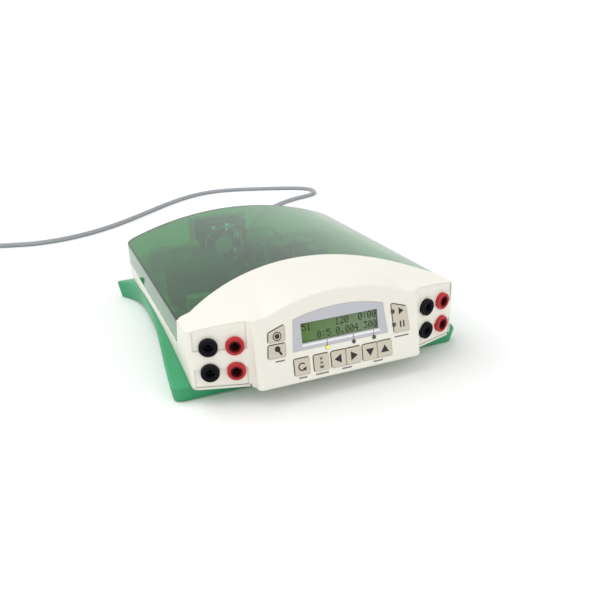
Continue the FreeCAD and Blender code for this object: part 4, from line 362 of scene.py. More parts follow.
class Stock(Enum):
    """The finishes that the supply is made in.

    Grain finer than a millimetre wouldn't show from the camera, so moulded grain is drawn 1.6 mm coarse.
    """

    # Injection-moulded ABS: warm white, soft sheen, rounded corners that catch the light
    HOUSING = Rounded("moulded_abs_off_white", "F3F1E5", roughness=0.38)
    # The same plastic through-dyed: mid green, a little duller than the case
    BASE = Finish("moulded_abs_green", "329B69", roughness=0.42)
    # Polished polycarbonate: clear reflections on top, works seen dimly in green
    COVER = Clear("smoked_green_polycarbonate", "46AE6E", roughness=0.05, ior=1.42, shadow="7CCB93")
    # Polished acrylic with a coating against reflections: hardly seen but for a faint sheen
    WINDOW = Clear("clear_acrylic", "F4F8F4", roughness=0.03, ior=1.2)
    # Textured keycaps: matt beige, darker than the case
    KEY = Finish("moulded_keycap_beige", "D2CBB9", roughness=0.5)
    # Painted shadow: dark brown strip on the case along the upper and left sides of a key, where the gap
    # round it is in shade
    KEY_LINE = Finish("pad_printed_brown", "4A4338", roughness=0.55)
    # Satin lacquer: cool grey against the warm case
    BEZEL = Finish("satin_lavender_grey", "C4C5CC", roughness=0.45)
    # Backlit liquid crystal: yellow-green at the left, greyer where the view gets flatter
    LCD_FIELD = Graded(
        "display_glass_green", "54762C", roughness=0.45, far="7A8C70", start_mm=-38.6, end_mm=38.6
    )
    # Switched dots: nearly black, no gloss of their own
    LCD_MARK = Finish("display_marks", "0C1406", roughness=0.6, ior=1.2)
    # Cold white, brighter than the case: white print on the rocker and the fan's label, and a painted
    # reflection as a strip under the display
    SILL = Finish("lacquered_white", "F4F4F6", roughness=0.3)
    # Pad-printed ink: flat black, thin
    INK = Finish("pad_printed_ink", "1A1917", roughness=0.55)
    # Pad-printed ink: flat mid grey
    LEGEND = Finish("pad_printed_grey", "807E78", roughness=0.55)
    # Lamp lens that is lit from behind: flat bright yellow
    LAMP_LIT = Glowing("lit_lamp_yellow", "FAF050", roughness=0.4)
    # Lamp lens that is off: dark with a small highlight
    LAMP = Finish("smoked_lamp_lens", "4A4742", roughness=0.25)
    # Solder mask on a glass-fibre board: glossy dark green, tracks lighter
    BOARD = Printed("solder_mask_green", "2E6E46", roughness=0.35)
    # Moulded nylon: soft black, faint sheen
    BLACK = Finish("moulded_nylon_black", "1B1B1E", roughness=0.42)
    # Dyed nylon: full red on the sockets' rims
    JACK_RED = Finish("moulded_nylon_red", "C4202C", roughness=0.4, ior=1.4)
    # Dyed nylon: flat black on the sockets' rims
    JACK_BLACK = Finish("moulded_nylon_jet", "0C0C0E", roughness=0.6, ior=1.25)
    # Painted shade: the rim's red made darker on the ring where the step round the mouth lies
    RED_STEP = Finish("painted_shade_nylon_red", "9A1820", roughness=0.5)
    # Deep bores, which light hardly reaches: brown-red and blue-black, no highlight
    RED_BORE = Finish("shaded_bore_red", "5A1012", roughness=0.8, ior=1.2)
    BLACK_BORE = Finish("shaded_bore_black", "13151C", roughness=0.9, ior=1.2)
    # Powder coat on steel sheet: even pale grey
    PANEL = Finish("powder_coated_steel", "E6E8E4", roughness=0.5)
    # Bright nickel: sharp reflections, slightly warm
    NICKEL = Metal("nickel_plate", "C8C4BA", roughness=0.22)
    # Tinned brass painted dark and brownish for the shade deep in a bore: painted shade
    CONTACT = Metal("tinned_brass_painted_shade", "45403A", roughness=0.5)
    # Zinc plate: blurred grey reflections
    ZINC = Metal("zinc_plate", "9A9CA0", roughness=0.35)
    # Drawn glass: clear, with bright edges
    TUBE = Clear("fuse_glass", "E0E6E6", roughness=0.02, ior=1.5)
    # Polyester tape round the windings: brown-black, even
    TAPE = Finish("winding_tape", "2A2A24", roughness=0.5)
    # Shrunk sleeve on the cans: blue-black and glossy
    SLEEVE = Finish("shrink_sleeve", "22262E", roughness=0.3)
    # Extruded aluminium, anodised: black with a metal's dim sheen
    ANODISED = Metal("black_anodised_aluminium", "2A2A2C", roughness=0.45, metallic=0.6)
    # Sintered ceramic: charcoal, dry
    FERRITE = Finish("sintered_ferrite", "3A3A3C", roughness=0.6)
    # Cast epoxy: pale yellow box
    POTTED = Finish("epoxy_filled_box", "C8BE9E", roughness=0.5)
    # Extruded PVC: soft black and soft white insulation
    WIRE = Finish("pvc_insulation_black", "1E1E20", roughness=0.4)
    # The soft white also makes the painted highlight ring on the fan
    PALE_WIRE = Finish("pvc_insulation_white", "D6D8CE", roughness=0.4)
    # Drawn aluminium can: bare, lightly blurred
    CAN = Metal("drawn_aluminium", "B8BABC", roughness=0.35)
    # Flat cable: grey conductors in two shades, side by side
    RIBBON = Banded("ribbon_cable", "A8A8AC", roughness=0.5, second="8C8C92")
    # Extruded PVC sheath: mid grey, matt
    CORD = Finish("pvc_sheath_grey", "9EA3A7", roughness=0.5)
    # Moulded rubber: charcoal, no sheen
    RUBBER = Finish("matt_rubber", "26262A", roughness=0.8)


NODE_STOCK: dict[str, tuple[str, ...]] = {
    "HOUSING": ("front_fascia", "lower_shell"),
    "BASE": ("base_frame",),
    "COVER": ("top_cover",),
    "RUBBER": ("foot_pads",),
    "ZINC": ("screws", "transformer_clamp", "socket_nuts"),
    "BEZEL": ("display_bezel",),
    "WINDOW": ("display_window",),
    "LAMP": ("indicator_lamps",),
    "BOARD": ("keypad_board", "main_board"),
    "BLACK": (
        "lcd_module",
        "key_switches",
        "fan_frame",
        "fan_rotor",
        "mains_inlet",
        "fuse_holder",
        "fuse_drawer",
        "power_switch",
        "power_rocker",
        "power_transistors",
    ),
    "PANEL": ("rear_panel",),
    "CONTACT": ("socket_contacts",),
    "NICKEL": ("inlet_pins", "plug_pins"),
    "TUBE": ("fuse_cartridges",),
    "TAPE": ("toroid_transformer",),
    "SLEEVE": ("bulk_capacitors",),
    "ANODISED": ("heat_sinks",),
    "FERRITE": ("output_chokes", "switching_transformer"),
    "POTTED": ("film_capacitors",),
    "WIRE": ("hookup_wires",),
    "PALE_WIRE": ("rear_loom",),
    "RIBBON": ("ribbon_cable",),
    "CORD": ("cord_connector", "cord_relief", "plug_relief", "mains_plug"),
}


# Making pieces


def dress(item: bpy.types.Object, stock: Stock) -> None:
    """Give a piece one finish.

    Args:
        item: Object whose material slots are filled.
        stock: Finish that it gets.
    """
    item.data.materials.clear()
    item.data.materials.append(stock.value.build())


def link(name: str, data: bpy.types.ID, stock: Stock, body: str = "root") -> bpy.types.Object:
    """Put finished data in the scene as a piece that rides on a body.

    Args:
        name: Name of the piece.
        data: Mesh or curve, already in place.
        stock: Finish that it gets.
        body: Body that carries it.

    Returns:
        The new object.
    """
    item = bpy.data.objects.new(name, data)
    bpy.context.scene.collection.objects.link(item)
    dress(item, stock)
    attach(item, body)
    LOG.info("%s: %s", name, stock.value.name)
    return item


def to_data(name: str, form: bmesh.types.BMesh) -> bpy.types.Mesh:
    """Turn a bmesh into mesh data and free it.

    Args:
        name: Name of the data.
        form: The shape.

    Returns:
        The mesh.
    """
    data = bpy.data.meshes.new(name)
    form.to_mesh(data)
    form.free()
    return data


@dataclass(frozen=True)
class Face:
    """A flat face of the object that marks are printed on: its origin in millimetres, and two directions."""

    origin: Point
    across: Point
    up: Point

    def matrix(self) -> Matrix:
        """From millimetres on the face to metres in the object's frame."""
        across, up = Vector(self.across).normalized(), Vector(self.up).normalized()
        out = across.cross(up)
        turn = Matrix((across, up, out)).transposed().to_4x4()
        return Matrix.Translation(Vector(self.origin) * MM) @ turn @ Matrix.Scale(MM, 4)


LEAN = math.radians(11.0)
CONSOLE = Face((0.0, -171.0, 17.1), (1.0, 0.0, 0.0), (0.0, math.sin(LEAN), math.cos(LEAN)))
INK_THICK = 0.05
SURFACE_GAP = 0.01


class Stencil:
    """Flat marks gathered in one bmesh, in millimetres, then thickened and laid on a face."""

    DISC_SIDES = 28
    STEP_DEGREES = 12
    LEAST_STEPS = 6
    STROKE = (0.8, 2.6)

    def __init__(self) -> None:
        """Start with nothing cut."""
        self.form = bmesh.new()

    def disc(self, spot: Spot, radius: float) -> Stencil:
        """Add a disc.

        Args:
            spot: Its centre.
            radius: Its radius.

        Returns:
            The stencil.
        """
        where = Matrix.Translation((*spot, 0))
        sides = self.DISC_SIDES
        bmesh.ops.create_circle(self.form, cap_ends=True, radius=radius, segments=sides, matrix=where)
        return self

    def wedge(self, spot: Spot, radius: float, degrees: float, stretch: float = 1.0) -> Stencil:
        """Add a triangle that points along an angle.

        Args:
            spot: Its centre.
            radius: How far its corners are from the centre.
            degrees: Angle that it points along.
            stretch: How much wider it is across that angle.

        Returns:
            The stencil.
        """
        turn = Matrix.Rotation(math.radians(degrees), 4, "Z") @ Matrix.Diagonal((1, stretch, 1, 1))
        where = Matrix.Translation((*spot, 0)) @ turn @ Matrix.Rotation(-math.pi / 2, 4, "Z")
        bmesh.ops.create_circle(self.form, cap_ends=True, radius=radius, segments=3, matrix=where)
        return self

    def bar(self, spot: Spot, width: float, height: float, degrees: float = 0.0) -> Stencil:
        """Add a rectangle.

        Args:
            spot: Its centre.
            width: Its size across.
            height: Its size upwards.
            degrees: How far it is turned.

        Returns:
            The stencil.
        """
        where = Matrix.Translation((*spot, 0)) @ Matrix.Rotation(math.radians(degrees), 4, "Z")
        size = Matrix.Diagonal((width, height, 1, 1))
        bmesh.ops.create_grid(self.form, x_segments=1, y_segments=1, size=0.5, matrix=where @ size)
        return self

    def ring(
        self, spot: Spot, radius: float, width: float, start: float = 0.0, sweep: float = 360.0
    ) -> Stencil:
        """Add a ring, or an arc of one, by spinning a short edge.

        Args:
            spot: Its centre.
            radius: Radius of its middle line.
            width: How wide its band is.
            start: Angle at which an arc begins.
            sweep: Angle that it goes through.

        Returns:
            The stencil.
        """
        turn = Matrix.Rotation(math.radians(start), 4, "Z")
        centre = Vector((*spot, 0))
        ends = [self.form.verts.new(centre + turn @ Vector((radius + s * width / 2, 0, 0))) for s in (-1, 1)]
        edge = self.form.edges.new(ends)
        whole = sweep >= 360.0
        bmesh.ops.spin(
            self.form,
            geom=[*ends, edge],
            cent=centre,
            axis=(0, 0, 1),
            dvec=(0, 0, 0),
            angle=math.radians(sweep),
            steps=max(self.LEAST_STEPS, int(sweep / self.STEP_DEGREES)),
            use_merge=whole,
            use_duplicate=False,
        )
        return self

    def zigzag(self, spot: Spot, width: float, strokes: int, down: bool) -> Stencil:
        """Add slanted strokes that meet in points.

        Args:
            spot: Their common centre.
            width: How wide they are together.
            strokes: How many there are.
            down: Whether the first one goes down.

        Returns:
            The stencil.
        """
        step = width / strokes
        thick, height = self.STROKE
        slant = math.degrees(math.atan2(step, height))
        for i in range(strokes):
            turn = slant if (i % 2 == 0) == down else -slant
            self.bar((spot[0] - width / 2 + step * (i + 0.5), spot[1]), thick, height, turn)
        return self

    def shape(self, corners: Sequence[Spot]) -> Stencil:
        """Add a polygon."""
        self.form.faces.new([self.form.verts.new((x, y, 0)) for x, y in corners])
        return self

    def data(self, name: str, face: Face, low: float, thick: float) -> bpy.types.Mesh:
        """Thicken the marks and lay them on a face.

        Args:
            name: Name of the mesh.
            face: Face that they lie on.
            low: How far over the face their underside is.
            thick: How thick they are.

        Returns:
            The mesh, in place.
        """
        form = self.form
        bmesh.ops.recalc_face_normals(form, faces=form.faces)
        for mark in form.faces:
            if mark.normal.z < 0:
                mark.normal_flip()
        bmesh.ops.translate(form, vec=(0, 0, low), verts=form.verts)
        top = bmesh.ops.extrude_face_region(form, geom=form.faces[:], use_keep_orig=True)["geom"]
        raised = [v for v in top if isinstance(v, bmesh.types.BMVert)]
        bmesh.ops.translate(form, vec=(0, 0, thick), verts=raised)
        bmesh.ops.recalc_face_normals(form, faces=form.faces)
        bmesh.ops.transform(form, matrix=face.matrix(), verts=form.verts)
        return to_data(name, form)


# Studio


@dataclass(frozen=True)
class Lamp:
    """A broad, even light: the way to it, how wide it looks and how strong it is."""

    name: str
    way: Point
    degrees: float
    strength: float


@dataclass(frozen=True)
class Studio:
    """Camera, floor, surroundings and lights."""

    eye: Point = (-0.2424, -0.6601, 0.3128)
    yaw: float = -22.24
    pitch: float = 22.09
    roll: float = -1.69
    lens: float = 39.98
    clip: tuple[float, float] = (0.01, 50.0)
    room: float = 6.0
    ambient: float = 0.56
    backdrop: float = 1.0
    lamps: tuple[Lamp, ...] = (
        Lamp("key_light", (-0.9, 0.5, 1.7), 60.0, 1.45),
        Lamp("fill_light", (0.3, -1.6, 1.4), 70.0, 0.62),
    )

    def set_camera(self) -> None:
        """Put the camera where the photograph was taken from."""
        yaw, pitch, roll = (math.radians(a) for a in (self.yaw, self.pitch, self.roll))
        look = Vector((-math.sin(yaw) * math.cos(pitch), math.cos(yaw) * math.cos(pitch), -math.sin(pitch)))
        right = Vector((math.cos(yaw), math.sin(yaw), 0))
        up = right.cross(look)
        level = right * math.cos(roll) + up * math.sin(roll)
        top = up * math.cos(roll) - right * math.sin(roll)
        camera = bpy.data.objects.new("camera", bpy.data.cameras.new("camera"))
        camera.data.lens = self.lens
        camera.data.clip_start, camera.data.clip_end = self.clip
        turn = Matrix((level, top, -look)).transposed().to_4x4()
        camera.matrix_world = Matrix.Translation(self.eye) @ turn
        bpy.context.scene.collection.objects.link(camera)
        bpy.context.scene.camera = camera

    def set_floor(self) -> None:
        """Lay a pale floor under the object."""
        form = bmesh.new()
        bmesh.ops.create_grid(form, x_segments=1, y_segments=1, size=self.room)
        item = bpy.data.objects.new("floor", to_data("floor", form))
        bpy.context.scene.collection.objects.link(item)
        # Uncoated paper: even white that takes a soft shadow
        item.data.materials.append(Finish("seamless_paper", "FCFCFC", roughness=0.7, drift=0.0).build())

    def set_world(self) -> None:
        """White all round: plain for what the camera, gloss and glass see, weaker as a light."""
        world = bpy.data.worlds.new("studio")
        bpy.context.scene.world = world
        world.use_nodes = True
        tree = world.node_tree
        tree.nodes.clear()
        path = add_node(tree, "ShaderNodeLightPath").outputs
        seen = path["Is Camera Ray"]
        for kind in ("Is Glossy Ray", "Is Transmission Ray"):
            seen = add_node(tree, "ShaderNodeMath", {0: seen, 1: path[kind]}, operation="MAXIMUM").outputs[0]
        span = {"Value": seen, "To Min": self.ambient, "To Max": self.backdrop}
        strength = add_node(tree, "ShaderNodeMapRange", span).outputs[0]
        light = add_node(tree, "ShaderNodeBackground", {"Color": WHITE, "Strength": strength})
        add_node(tree, "ShaderNodeOutputWorld", {"Surface": light.outputs[0]})

    def set_lamps(self) -> None:
        """Hang the soft lights, each turned to the object."""
        for lamp in self.lamps:
            data = bpy.data.lights.new(lamp.name, "SUN")
            data.angle, data.energy = math.radians(lamp.degrees), lamp.strength
            item = bpy.data.objects.new(lamp.name, data)
            item.matrix_world = Vector(lamp.way).to_track_quat("Z", "Y").to_matrix().to_4x4()
            bpy.context.scene.collection.objects.link(item)

    def build(self) -> None:
        """Set up everything round the object."""
        self.set_camera()
        self.set_floor()
        self.set_world()
        self.set_lamps()
        bpy.context.scene.view_settings.view_transform = "Standard"


# Mains lead


@dataclass(frozen=True)
class MainsLead:
    """Grey lead from the inlet: loose on the table, then a small coil just outside the view."""

    sheath: float = 3.5
    outlet: Point = (62.0, 222.5, 37.0)
    drop: tuple[Point, ...] = ((62.0, 248.5, 37.0), (64.0, 280.5, 22.0), (70.0, 314.5, 5.5))
    # Chosen so that the lead runs as in the photograph where that shows it
    table: tuple[Spot, ...] = (
        (82, 349.5), (99, 385.5), (121, 423.5), (148, 460.5), (177, 495.5), (211, 523.5), (248, 544),
        (285, 555), (305, 577), (304, 608), (281, 629), (249, 645), (209, 662), (168, 677), (127, 685),
        (88, 678), (50, 658), (12, 628), (-30, 588), (-73, 546), (-113, 511), (-154, 484), (-197, 467),
        (-241, 462), (-281, 473), (-320, 486.5),
    )
    centre: Spot = (-356.0, 444.0)
    coil: float = 42.5
    gap: float = 0.6
    turns: float = 2.25
    climb: float = 0.5
    steps: int = 36
    lead_in: float = 7.0
    tail: float = 22.0
    length: float = 1.81
    order: int = 3
    smoothness: int = 8
    roundness: int = 6

    def coil_point(self, turn: float) -> Vector:
        """Where the coil's centre line is after a number of turns.

        Args:
            turn: Turns from the coil's beginning.

        Returns:
            The point, in millimetres.
        """
        pitch = 2 * self.sheath + self.gap
        half = self.turns / 2
        radius = self.coil - pitch * (half - abs(turn - half))
        rise = min(1.0, max(0.0, (turn - half + self.climb / 2) / self.climb))
        angle = math.pi / 2 + 2 * math.pi * turn
        level = self.sheath + pitch * rise * rise * (3 - 2 * rise)
        x, y = self.centre
        return Vector((x + radius * math.cos(angle), y + radius * math.sin(angle), level))

    def route(self) -> list[Vector]:
        """Control points of the whole lead, in millimetres."""
        points = [Vector(self.outlet), *map(Vector, self.drop)]
        points += [Vector((x, y, self.sheath)) for x, y in self.table]
        first = self.coil_point(0.0)
        points.append(first + Vector((self.lead_in, 0, 0)))
        points += [self.coil_point(self.turns * i / self.steps) for i in range(self.steps + 1)]
        points.append(points[-1] + Vector((0, -self.tail, 0)))
        return points

    def spline(self) -> bpy.types.Curve:
        """The lead as one smooth round spline."""
        curve = bpy.data.curves.new("mains_lead", "CURVE")
        curve.dimensions = "3D"
        line = curve.splines.new("NURBS")
        points = self.route()
        line.points.add(len(points) - 1)
        for point, place in zip(line.points, points):
            point.co = (*(place * MM), 1.0)
        line.order_u = self.order
        line.use_endpoint_u = True
        line.resolution_u = self.smoothness
        curve.bevel_depth = self.sheath * MM
        curve.bevel_resolution = self.roundness
        curve.use_fill_caps = True
        return curve

    def build(self) -> None:
        lead = link("mains_lead", self.spline(), Stock.CORD)
        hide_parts("mains_cord", "cord_coil")


# Keys and their marks


@dataclass(frozen=True)
class Keypad:
    """Marks on the nine keys, the fine printing round them, and painted shadow along the gaps round the keys.

    Places are across and up the console's face. A key's mark lies on its own face, which stands proud.
    """

    proud: float = 0.5
    row: float = 15.6
    reset_x: float = -41.0
    loop: tuple[float, float, float, float] = (3.3, 1.2, 40.0, 262.0)
    loop_head: tuple[float, float, float, float] = (2.6, -2.2, 2.4, 50.0)
    constant_x: float = -22.0
    letters: tuple[tuple[float, float, int, bool], ...] = (
        (4.0, 2.4, 2, True),
        (0.0, 2.4, 2, False),
        (-4.0, 3.4, 4, True),
    )
    cursor_x: Spot = (-4.3, 10.2)
    value_x: Spot = (27.8, 43.4)
    arrow: float = 4.8
    arrow_stretch: float = 1.05
    arrow_shift: float = 0.8
    setup: Spot = (-62.4, 36.4)
    setup_knob: float = 2.7
    setup_stem: tuple[float, float, float, float, float] = (2.0, -3.4, 2.0, 5.6, 32.0)
    stop: Spot = (-61.6, 47.9)
    stop_ring: Spot = (3.7, 0.9)
    stop_dot: float = 2.3
    run: Spot = (62.8, 48.8)
    run_size: float = 3.6
    run_stretch: float = 1.1
    pause_x: Spot = (62.2, 65.6)
    pause_v: float = 36.0
    pause_bar: Spot = (1.5, 6.2)
    edge_gap: float = 0.1
    edge_reach: float = 1.0
    lit_from: Spot = (-0.6, 0.8)
    lit_share: float = 0.35
    inner_share: float = 0.8
    shortest: float = 1e-4
    inner_keys: tuple[str, ...] = ("key_cursor_right", "key_value_up")
    captions: tuple[tuple[Spot, float], ...] = (
        ((-41.0, 5.3), 8.0),
        ((-22.0, 5.3), 13.0),
        ((3.0, 5.3), 10.0),
        ((35.6, 5.3), 10.0),
        ((-61.0, 25.0), 9.0),
        ((62.5, 24.4), 15.0),
    )
    caption_height: float = 1.45
    run_lamps: tuple[Spot, Spot] = ((54.8, 49.3), (55.2, 36.4))
    lamp_line_width: float = 0.5

    def reset_mark(self, cut: Stencil) -> Stencil:
        """Open loop with an arrowhead at its end.

        Args:
            cut: Stencil that it goes in.

        Returns:
            The stencil.
        """
        radius, width, start, sweep = self.loop
        over, up, size, turn = self.loop_head
        cut.ring((self.reset_x, self.row), radius, width, start, sweep)
        return cut.wedge((self.reset_x + over, self.row + up), size, turn)

    def constant_mark(self, cut: Stencil) -> Stencil:
        """Column of three slanted signs.

        Args:
            cut: Stencil that it goes in.

        Returns:
            The stencil.
        """
        for shift, width, strokes, down in self.letters:
            cut.zigzag((self.constant_x, self.row + shift), width, strokes, down)
        return cut

    def setup_mark(self, cut: Stencil) -> Stencil:
        """Knob on a stem.

        Args:
            cut: Stencil that it goes in.

        Returns:
            The stencil.
        """
        over, up, width, height, turn = self.setup_stem
        cut.disc(self.setup, self.setup_knob)
        return cut.bar((self.setup[0] + over, self.setup[1] + up), width, height, turn)

    def run_mark(self, cut: Stencil) -> Stencil:
        """Run arrow over two pause bars.

        Args:
            cut: Stencil that it goes in.

        Returns:
            The stencil.
        """
        cut.wedge(self.run, self.run_size, 0, self.run_stretch)
        for x in self.pause_x:
            cut.bar((x, self.pause_v), *self.pause_bar)
        return cut

    def marks(self) -> dict[str, Callable[[Stencil], Stencil]]:
        """What is printed on each key."""
        (left, right), (down, up) = self.cursor_x, self.value_x
        row, size, wide = self.row, self.arrow, self.arrow_stretch
        return {
            "key_reset": self.reset_mark,
            "key_constant": self.constant_mark,
            "key_cursor_left": lambda s: s.wedge((left, row), size, 180, wide),
            "key_cursor_right": lambda s: s.wedge((right, row), size, 0, wide),
            "key_value_down": lambda s: s.wedge((down, row + self.arrow_shift), size, -90, wide),
            "key_value_up": lambda s: s.wedge((up, row - self.arrow_shift), size, 90, wide),
            "key_setup": self.setup_mark,
            "key_stop": lambda s: s.ring(self.stop, *self.stop_ring).disc(self.stop, self.stop_dot),
            "key_run_pause": self.run_mark,
        }

    def outline(self, item: bpy.types.Object) -> list[Vector]:
        """Corners of a key's face, in order round it.

        Args:
            item: The key's own node. Its hidden flange lies under the console's face.

        Returns:
            Places on the console's face, in millimetres.
        """
        flat = CONSOLE.matrix().inverted()
        places = [flat @ v.co for v in item.data.vertices]
        spots = [p.to_2d() for p in places if p.z > 0]
        return [spots[i] for i in convex_hull_2d(spots)]

    def shade(self, cut: Stencil, item: bpy.types.Object) -> None:
        """Paint shadow on the case along a key's upper and left edges, where its gap is in shade.

        Args:
            cut: Stencil that the lines go in.
            item: The key's own node.
        """
        corners = self.outline(item)
        middle = sum(corners, Vector((0, 0))) / len(corners)
        for a, b in zip(corners, corners[1:] + corners[:1]):
            out = Vector(((b - a).y, (a - b).x))
            if out.length < self.shortest:
                continue
            out.normalize()
            if out.dot((a + b) / 2 - middle) < 0:
                out.negate()
            inner = item.name in self.inner_keys and out.x < -self.inner_share
            if inner or out.dot(Vector(self.lit_from)) <= self.lit_share:
                continue
            near, far = out * self.edge_gap, out * self.edge_reach
            cut.shape([tuple(p) for p in (a + near, b + near, b + far, a + far)])

    def lamp_line(self) -> Stencil:
        """Fine line that ties the two run lamps to their key."""
        (x0, v0), (x1, v1) = self.run_lamps
        tilt = math.degrees(math.atan2(x0 - x1, v0 - v1))
        return Stencil().bar(((x0 + x1) / 2, (v0 + v1) / 2), self.lamp_line_width, v0 - v1, -tilt)

    def build(self, nodes: dict[str, bpy.types.Object]) -> None:
        """Print every key, paint the shadow along the keys' gaps, then print the captions on the case.

        Args:
            nodes: The frame's own nodes by name.
        """
        lines = Stencil()
        for node, draw in self.marks().items():
            data = draw(Stencil()).data(node + "_mark", CONSOLE, self.proud + SURFACE_GAP, INK_THICK)
            link(node + "_mark", data, Stock.INK, body=node)
            self.shade(lines, nodes[node])
        # Painted shadow: a dark strip on the case along each key's upper and left gap
        link("painted_key_gap_shadows", lines.data("painted_key_gap_shadows", CONSOLE, SURFACE_GAP, INK_THICK), Stock.KEY_LINE)
        captions = Stencil()
        for spot, width in self.captions:
            captions.bar(spot, width, self.caption_height)
        link("key_captions", captions.data("key_captions", CONSOLE, SURFACE_GAP, INK_THICK), Stock.LEGEND)
        tie = self.lamp_line().data("run_lamp_line", CONSOLE, SURFACE_GAP, INK_THICK)
        link("run_lamp_line", tie, Stock.INK)


# Display

# Rows of dots from the top, one group of five to a row
DIGITS = {
    "0": "01110 10001 10011 10101 11001 10001 01110",
    "1": "00100 01100 00100 00100 00100 00100 01110",
    "2": "01110 10001 00001 00010 00100 01000 11111",
    "3": "11111 00010 00100 00010 00001 10001 01110",
    "4": "00010 00110 01010 10010 11111 00010 00010",
    "5": "11111 10000 11110 00001 00001 10001 01110",
    ":": "00000 00100 00100 00000 00100 00100 00000",
    ".": "00000 00000 00000 00000 00000 01100 01100",
}


@dataclass(frozen=True)
class Display:
    """Character display in its grey frame: two rows of numbers, with a lamp under each column."""

    half: float = 38.6
    low: float = 36.5
    high: float = 54.9
    lap: float = 3.0
    depth: float = 2.49
    film: float = 0.01
    text_lift: float = 0.02
    pitch: float = 0.78
    tall: float = 1.2
    cell: float = 4.72
    rows: tuple[tuple[float, float, str], ...] = (
        (53.2, -36.4, "51     120  0:00"),
        (44.2, -36.4, "   0:5 0.004 300"),
    )
    lamps: tuple[Spot, ...] = ((-14.4, 28.6), (12.3, 28.6), (33.4, 28.6))
    lamp_radius: float = 1.65
    lamp_pop: float = 0.41
    leader_width: float = 0.5
    leader_shift: float = 0.6
    leader_short: float = 2.0
    sill_x: float = 0.7
    sill_drop: float = 2.0
    sill_width: float = 78.6
    sill_height: float = 1.9

    def characters(self) -> Stencil:
        """The switched dots of both rows. They touch, so that a stroke is unbroken."""
        text = Stencil()
        rise = self.pitch * self.tall
        for top, left, words in self.rows:
            for place, sign in enumerate(words):
                for down, bits in enumerate(DIGITS.get(sign, "").split()):
                    for over, bit in enumerate(bits):
                        if bit == "1":
                            spot = (left + place * self.cell + over * self.pitch, top - down * rise)
                            text.bar(spot, self.pitch, rise)
        return text

    def leaders(self) -> Stencil:
        """A fine line from each lamp to the display."""
        lines = Stencil()
        for x, v in self.lamps:
            middle = (v + self.low) / 2 + self.leader_shift
            lines.bar((x, middle), self.leader_width, self.low - v - self.leader_short)
        return lines

    def build(self) -> None:
        """Light the field, set its characters, print what is round it, and paint a reflection as a white
        strip under it.
        """
        middle, height = (self.low + self.high) / 2, self.high - self.low
        pane = Stencil().bar((0.0, middle), 2 * self.half + self.lap, height + self.lap)
        glass = pane.data("display_field", CONSOLE, -self.depth, self.film)
        link("display_field", glass, Stock.LCD_FIELD)
        numbers = self.characters().data("display_numbers", CONSOLE, self.text_lift - self.depth, self.film)
        link("display_numbers", numbers, Stock.LCD_MARK)
        # Painted reflection: a cold white strip just under the display, on the window's lower ledge
        sill = Stencil().bar((self.sill_x, self.low - self.sill_drop), self.sill_width, self.sill_height)
        link("display_painted_reflection", sill.data("display_painted_reflection", CONSOLE, SURFACE_GAP, INK_THICK), Stock.SILL)
        over_sill = 2 * SURFACE_GAP + INK_THICK
        link("lamp_leaders", self.leaders().data("lamp_leaders", CONSOLE, over_sill, INK_THICK), Stock.INK)
        glow = Stencil().disc(self.lamps[0], self.lamp_radius)
        link("lit_lamp", glow.data("lit_lamp", CONSOLE, self.lamp_pop, INK_THICK), Stock.LAMP_LIT)


# Sockets, back and works


def is_socket(name: str) -> bool:
    """Whether a node is the moulded part of an output socket."""
    return name.startswith("socket_") and name.endswith(("red", "black"))


@dataclass(frozen=True)
class Jacks:
    """Output sockets: painted shade round each contact, as a darker ring on the step, a dark ring for the
    mouth and a dark sleeve for the shade inside the bore.

    Each ring has its radius, its width and how deep it goes from the socket's head.
    """

    turn: float = 16.8
    rise: float = 0.02
    head_depth: float = 0.05
    step: Point = (5.95, 1.1, 0.05)
    mouth: Point = (4.8, 1.3, 0.05)
    bore_shade: Point = (3.98, 0.12, 12.0)

    def face(self, item: bpy.types.Object) -> Face:
        """The plane of a socket's head, centred on it.

        Args:
            item: The socket's own node.

        Returns:
            The plane, from the node's mesh.
        """
        places = [v.co / MM for v in item.data.vertices]
        side = 1 if places[0].x > 0 else -1
        angle = math.radians(self.turn)
        across, up = Vector((math.cos(angle), side * math.sin(angle), 0)), Vector((0, 0, 1))
        out = across.cross(up)
        front = max(p.dot(out) for p in places)
        head = [p for p in places if p.dot(out) > front - self.head_depth]
        middle = out * front
        for way in (across, up):
            reach = [p.dot(way) for p in head]
            middle += way * (min(reach) + max(reach)) / 2
        return Face(tuple(middle), tuple(across), tuple(up))

    def build(self, nodes: dict[str, bpy.types.Object]) -> None:
        """Ring every socket.

        Args:
            nodes: The frame's own nodes by name.
        """
        for name, item in nodes.items():
            if not is_socket(name):
                continue
            face = self.face(item)
            red = name.endswith("red")
            bore = Stock.RED_BORE if red else Stock.BLACK_BORE
            # Painted shade: the step ring darker than the rim, the mouth ring and the bore's sleeve dark as
            # the hole's shade
            rings = {
                "step": (self.step, Stock.RED_STEP if red else Stock.BLACK_BORE),
                "mouth": (self.mouth, bore),
                "bore_shade": (self.bore_shade, bore),
            }
            for part, ((radius, width, thick), stock) in rings.items():
                piece = f"{name}_{part}"
                low = self.rise + INK_THICK - thick
                link(piece, Stencil().ring((0, 0), radius, width).data(piece, face, low, thick), stock)


